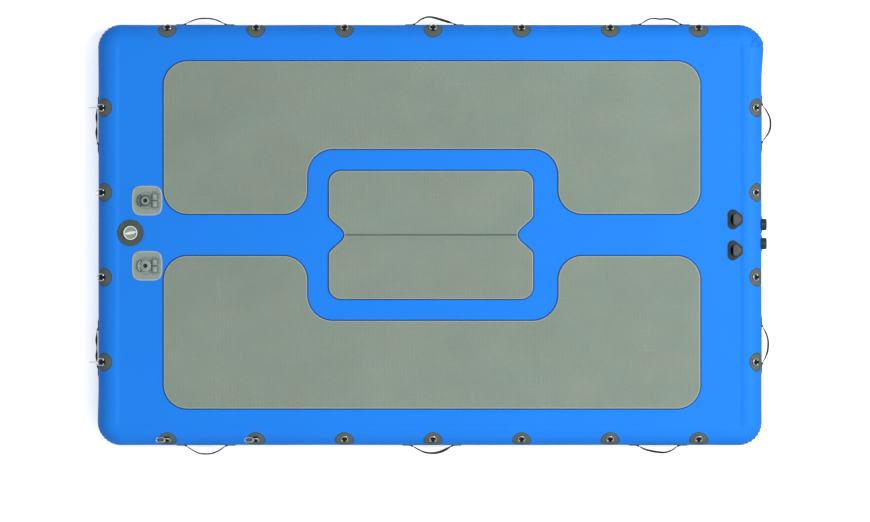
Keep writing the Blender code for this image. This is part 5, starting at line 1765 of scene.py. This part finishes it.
class DOCK_OT_mounts(bpy.types.Operator):
    """Builds the accessory mounts: pillow plate, toothed turret, clamp and the lock that turns"""

    bl_idname = "dock.mounts"
    bl_label = "Accessory mounts"

    def execute(self, context):
        for label in ("upper", "lower"):
            seat, half_x, half_y = box_seat(f"mount_base_{label}")
            pivot = Vector(JOINTS[f"mount_lock_{label}_turn"]["pos_m"])
            turret = Matrix.Translation((pivot.x, pivot.y, seat.z))
            base = self.base(label, Matrix.Translation(seat), turret, half_x, half_y)
            carried(base, "platform", "mount_grey", f"mount_base_{label}")
            node = f"mount_lock_{label}"
            low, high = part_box(node)
            carried(self.lock(label, pivot, low.z, high.z), node, "mount_grey", node)
        return {"FINISHED"}

    def base(self, label, place, turret, half_x, half_y):
        squareness, border_share = 3.8, 0.925
        rows = (
            (0.0, 0.0), (0.0, 0.0014), (0.0007, 0.0022), (0.0020, 0.0028), (0.0045, 0.0032),
            (0.0085, 0.0033), (0.0100, 0.0030), (0.0110, 0.0024), (0.0200, 0.0023), (0.0300, 0.0025),
            (0.0450, 0.0029), (0.0650, 0.0032), (0.0860, 0.0033),
        )
        rings = []
        for inset, z in rows:
            outline = bowed_outline(half_x - inset, half_y - inset, squareness - inset * 8)
            rings.append(level_ring(outline, z, place))
        plate = swept("plate", rings, "mount_shell", smooth=30)
        # Faces on the plate's bevelled border take the lighter finish: painted highlight.
        plate.data.materials.append(finishes()["mount_border"])
        back = place.inverted()
        for face in plate.data.polygons:
            middle = back @ face.center
            x, y = abs(middle.x / half_x), abs(middle.y / half_y)
            reach = (x**squareness + y**squareness) ** (1 / squareness)
            face.material_index = int(reach > border_share)
        step = 0.0035
        pieces = [plate]
        foot = [(0.0, step * 0.5), (0.0362, step * 0.5), (0.0362, step + 0.0046)]
        foot += [(0.0352, 0.0095), (0.0, 0.0095)]
        # The turret's foot and neck take the darker finish, painted shade; its foot ribs the painted
        # highlight.
        pieces.append(spun("turret_foot", rounded(foot, 0.0008, 2), "mount_shade", turret))
        corners = ((0.0335, -0.0024, 0.0040), (0.0362, 0.0024, 0.0101))
        pieces += block_ring("foot_rib", *corners, 0.0006, "mount_border", turret, 2, 14, 0.5)
        neck = [(0.0, 0.006), (0.020, 0.006), (0.020, 0.0190), (0.0, 0.0190)]
        pieces.append(spun("turret_neck", neck, "mount_shade", turret, 48))
        rings = []
        outline = toothed_outline(0.025, 0.003)
        for z, shrink in ((0.0171, 0.985), (0.0178, 1.0), (0.0248, 1.0), (0.0257, 0.975), (0.0260, 0.94)):
            rings.append(level_ring([(x * shrink, y * shrink) for x, y in outline], z, turret))
        pieces.append(swept("turret_crown", rings, "mount_shell", smooth=30))
        body = joined("turret", pieces[1:])
        bpy.ops.mesh.primitive_cylinder_add(
            vertices=8, radius=0.014, depth=0.030, location=turret @ Vector((0, 0, 0.021)),
            rotation=(0, 0, math.pi / 8),
        )
        cutter = bpy.context.object
        lay_flat(cutter)
        cut(body, cutter, use_self=True)
        pieces = [plate, body] + self.clamp(place, step) + self.pips(place)
        pieces.append(self.tab_shadow(turret))
        return joined(f"accessory_mount_{label}", pieces)

    def pips(self, place):
        """The small pips moulded on the plate round the turret and the clamp, each a pip of painted highlight
        on a disc of painted shade.
        """
        made = []
        spots = (
            (0.020, 0.046), (0.006, 0.050), (-0.010, 0.050), (-0.026, 0.046), (0.036, 0.052), (0.052, 0.050),
            (0.014, 0.036), (0.023, 0.030), (0.024, 0.016), (0.068, 0.040), (0.069, 0.014), (0.066, 0.027),
        )
        for x, y in spots:
            for sign in (-1, 1):
                spot = place @ Matrix.Translation((x, sign * y, 0))
                well = [(0.0, 0.0018), (0.0052, 0.0018), (0.0048, 0.0036), (0.0, 0.0036)]
                made.append(spun("pip_shadow_disc", well, "mount_shade", spot, 16))
                pip = [(0.0, 0.0025), (0.0030, 0.0025), (0.0026, 0.0050), (0.0014, 0.0058), (0.0, 0.0058)]
                made.append(spun("pip", pip, "mount_border", spot, 16))
        return made

    def tab_shadow(self, turret):
        """A dark sheet on the plate round the thumb tab's path: painted shadow."""
        reach = math.radians(54)
        outline = arc((0, 0), 0.0368, math.pi + reach, math.pi - reach, 24)
        outline += arc((0, 0), 0.0512, math.pi - reach, math.pi + reach, 30)
        rings = []
        for inset, z in ((0.0, 0.0030), (0.0, 0.0040), (0.0006, 0.0043)):
            rings.append(level_ring(offset_outline(outline, inset) if inset else outline, z, turret))
        return swept("painted_tab_shadow", rings, "mount_shade", smooth=40)

    def clamp(self, place, step):
        low_x, high_x, half = 0.030, 0.064, 0.042
        corners = ((low_x, -half, step * 0.5), (high_x, half, step + 0.006))
        # The clamp floor takes the darker finish: painted shade.
        pieces = [block("clamp_floor", *corners, 0.0012, "mount_shade", place)]
        for sign in (-1, 1):
            y0, y1 = sorted((sign * 0.004, sign * 0.039))
            corners = ((0.033, y0, step * 0.5), (0.061, y1, 0.016))
            pieces.append(block("clamp_cheek", *corners, 0.0022, "mount_shell", place))
            centre = place @ Matrix.Translation((0.047, sign * 0.025, 0))
            boss = [(0.0, 0.010), (0.0085, 0.010), (0.0080, 0.0182), (0.0072, 0.0190)]
            boss += [(0.0050, 0.0190), (0.0046, 0.0176), (0.0, 0.0176)]
            # The clamp bosses take the lighter finish: painted highlight.
            pieces.append(spun("clamp_boss", rounded(boss, 0.0004, 2), "mount_border", centre, 40))
        for x in (0.038, 0.0445, 0.051):
            corners = ((x - 0.0009, -0.0036, step + 0.0055), (x + 0.0009, 0.0036, 0.0128))
            pieces.append(block("clamp_rung", *corners, 0.0004, "mount_shell", place, 1))
        return pieces

    def lock(self, label, pivot, low, high):
        """The turning ring with its raised, ribbed thumb tab."""
        inner, ring, tab_in, tab_out = 0.0203, 0.0330, 0.0370, 0.0470
        arm, tab = math.radians(12), math.radians(42)
        outline = arc((0, 0), ring, math.pi + arm, 3 * math.pi - arm, 72)
        outline += arc((0, 0), tab_in, math.pi - arm, math.pi - tab, 6)
        outline += arc((0, 0), tab_out, math.pi - tab, math.pi + tab, 28)
        outline += arc((0, 0), tab_in, math.pi + tab, math.pi + arm, 6)
        obj = drawn("lock", level_ring(outline, low))
        rise = high - low
        raise_layers(((0, rise * 0.72), (0.0005, rise * 0.18), (0.0007, rise * 0.10)))
        face_outwards()
        bpy.ops.mesh.primitive_cylinder_add(vertices=72, radius=inner, depth=0.05, location=(0, 0, low))
        cut(obj, bpy.context.object)
        # The lower ring takes the painted highlight and the upper ring the painted shade: lit and shaded
        # copies of one part.
        pieces = [end(obj, "mount_border" if label == "lower" else "mount_shade", 30)]
        for k in range(-3, 4):
            turn = Matrix.Rotation(math.pi + k * tab * 0.26, 4, "Z")
            corners = ((tab_in + 0.0012, -0.0010, high - 0.0008), (tab_out - 0.0022, 0.0010, high + 0.0010))
            # The tab's ribs take the painted highlight.
            pieces.append(block("tab_rib", *corners, 0.0004, "mount_border", turn, 2))
        made = joined(f"mount_lock_ring_{label}", pieces)
        made.data.transform(Matrix.Translation((pivot.x, pivot.y, 0)))
        return made


# Snap links


def link_paths():
    """Centre lines of a snap link's body and gate, with the D-ring's rod at the origin."""
    rod = sizes().link_rod
    length, width, seat = 0.057, 0.030, 0.0003
    gate_start, gate_end = 0.0095, 0.0335
    bend = width / 2 - rod
    near = -(sizes().ring_rod + rod + seat)
    near_centre = near + bend
    far_centre = near + length - 2 * rod - bend
    body = [(gate_end, bend), (gate_end + 0.0010, bend)]
    body += arc((far_centre, 0), bend, math.pi / 2, -math.pi / 2, 22)
    body += [(far_centre - (far_centre - near_centre) * k / 5, -bend) for k in range(1, 5)]
    body += arc((near_centre, 0), bend, -math.pi / 2, -1.5 * math.pi, 22)
    body += [(gate_start, bend)]
    return body, (gate_start + 0.0006, gate_end - 0.0006, bend)


def steel_rod(name, path, radius, sides=14):
    return swept(name, rod_rings(path, radius, sides), "polished_steel")


class DOCK_OT_links(bpy.types.Operator):
    """Builds the four spring snap links, each a bent rod with a gate on a rivet"""

    bl_idname = "dock.links"
    bl_label = "Snap links"

    def execute(self, context):
        rod = sizes().link_rod
        body, (start, stop, bend) = link_paths()
        for name, joint in JOINTS.items():
            if not (name.startswith("snap_link") and name.endswith("_swing")):
                continue
            label = name[len("snap_link_"):-len("_swing")]
            gate_joint = JOINTS[f"link_gate_{label}_hinge"]
            pivot = Vector(joint["pos_m"])
            place = frame_at(pivot, box_middle(f"snap_link_{label}") - pivot, gate_joint["axis"])
            path = [Vector((x, y, 0)) for x, y in body]
            made = [steel_rod("link_body", path, rod)]
            nose = [Vector((stop + 0.0010, bend, 0)), Vector((stop + 0.0034, bend, 0))]
            made.append(steel_rod("link_nose", nose, [rod * 0.9, rod * 1.12]))
            self.seat(f"steel_link_{label}", made, place, f"snap_link_{label}")
            line = [start, start + 0.0008, start + 0.0020, start + 0.012, stop - 0.003, stop - 0.0008, stop]
            radii = [0.0011, 0.0016, 0.0018, 0.0018, 0.0018, 0.0015, 0.0010]
            gate = [steel_rod("gate_rod", [Vector((x, bend, 0)) for x in line], radii)]
            rivet = [Vector((start + 0.0018, bend, z)) for z in (-0.0023, -0.0019, 0.0019, 0.0023)]
            gate.append(steel_rod("gate_rivet", rivet, [0.0006, 0.0010, 0.0010, 0.0006], 12))
            self.seat(f"steel_gate_{label}", gate, place, f"link_gate_{label}")
        return {"FINISHED"}

    def seat(self, name, pieces, place, node):
        """Joins the pieces, sets them in place and puts them on their own body."""
        piece = joined(name, pieces)
        piece.data.transform(place)
        carried(end(piece, "polished_steel", 40), node, "steel_bright", node)


# Stage


class DOCK_OT_stage(bpy.types.Operator):
    """Sets out the pale floor, the soft studio light and the camera straight above"""

    bl_idname = "dock.stage"
    bl_label = "Studio stage"

    def execute(self, context):
        scene = context.scene
        scene.view_settings.view_transform = "Standard"
        pale, paler = (0.94, 0.94, 0.94), (0.96, 0.96, 0.96)
        bpy.ops.mesh.primitive_plane_add(size=60, location=(0, 0, -0.001))
        floor = bpy.context.object
        floor.name = "studio_floor"
        surface = Finish("studio_floor", 0.95, Specular_IOR_Level=0.1, Emission_Strength=0.42)
        surface.colour(surface.mottle(paler, pale, Scale=0.4, Amount=0.2))
        floor.data.materials.append(surface.material)
        floor.visible_diffuse = False
        floor.visible_glossy = False
        world = scene.world or bpy.data.worlds.new("studio")
        scene.world = world
        world.use_nodes = True
        sky = world.node_tree.nodes["Background"]
        sky.inputs["Color"].default_value = (1.0, 1.0, 1.0, 1.0)
        sky.inputs["Strength"].default_value = 0.52
        for label, place, size, power in (
            ("key", (7.5, 1.5, 9.0), 5.5, 960.0),
            ("fill", (-6.5, 3.0, 6.0), 5.0, 40.0),
            ("front", (1.0, -6.5, 6.5), 5.0, 190.0),
        ):
            bpy.ops.object.light_add(type="AREA", location=place)
            lamp = bpy.context.object
            lamp.name = f"{label}_light"
            lamp.data.size = size
            lamp.data.energy = power
            lamp.rotation_euler = Vector(place).to_track_quat("Z", "Y").to_euler()
        bpy.ops.object.camera_add()
        camera = bpy.context.object
        camera.name = "camera"
        photo_width, metres_per_pixel = 870, 0.006033
        camera.data.sensor_width = 36.0
        camera.data.lens = 200.0
        reach = photo_width * metres_per_pixel * camera.data.lens / camera.data.sensor_width
        camera.location = (0.030, -0.157, sizes().depth / 2 + reach)
        camera.rotation_euler = (0, 0, 0)
        camera.data.clip_start = 1.0
        camera.data.clip_end = 200.0
        scene.camera = camera
        deselect()
        return {"FINISHED"}


OPERATORS = (
    DOCK_OT_stage,
    DOCK_OT_chamber,
    DOCK_OT_yarns,
    DOCK_OT_patches,
    DOCK_OT_rings,
    DOCK_OT_handle_bases,
    DOCK_OT_handles,
    DOCK_OT_pads,
    DOCK_OT_valve,
    DOCK_OT_sockets,
    DOCK_OT_mounts,
    DOCK_OT_links,
)


class DOCK_PT_panel(bpy.types.Panel):
    """Lists the platform's sizes, colours and building steps"""

    bl_label = "Dock platform"
    bl_idname = "DOCK_PT_panel"
    bl_space_type = "VIEW_3D"
    bl_region_type = "UI"
    bl_category = "Dock"

    def draw(self, context):
        layout = self.layout
        for group in (sizes(), colours()):
            column = layout.column()
            for label in group.bl_rna.properties.keys():
                if label not in ("rna_type", "name"):
                    column.prop(group, label)
        for operator in OPERATORS:
            layout.operator(operator.bl_idname)


CLASSES = (DockSizes, DockColours, *OPERATORS, DOCK_PT_panel)


def register():
    for item in CLASSES:
        bpy.utils.register_class(item)
    bpy.types.Scene.dock_sizes = bpy.props.PointerProperty(type=DockSizes)
    bpy.types.Scene.dock_colours = bpy.props.PointerProperty(type=DockColours)


def unregister():
    del bpy.types.Scene.dock_colours
    del bpy.types.Scene.dock_sizes
    for item in reversed(CLASSES):
        bpy.utils.unregister_class(item)


def main():
    register()
    for operator in OPERATORS:
        group, name = operator.bl_idname.split(".")
        getattr(getattr(bpy.ops, group), name)()


if __name__ == "__main__":
    main()
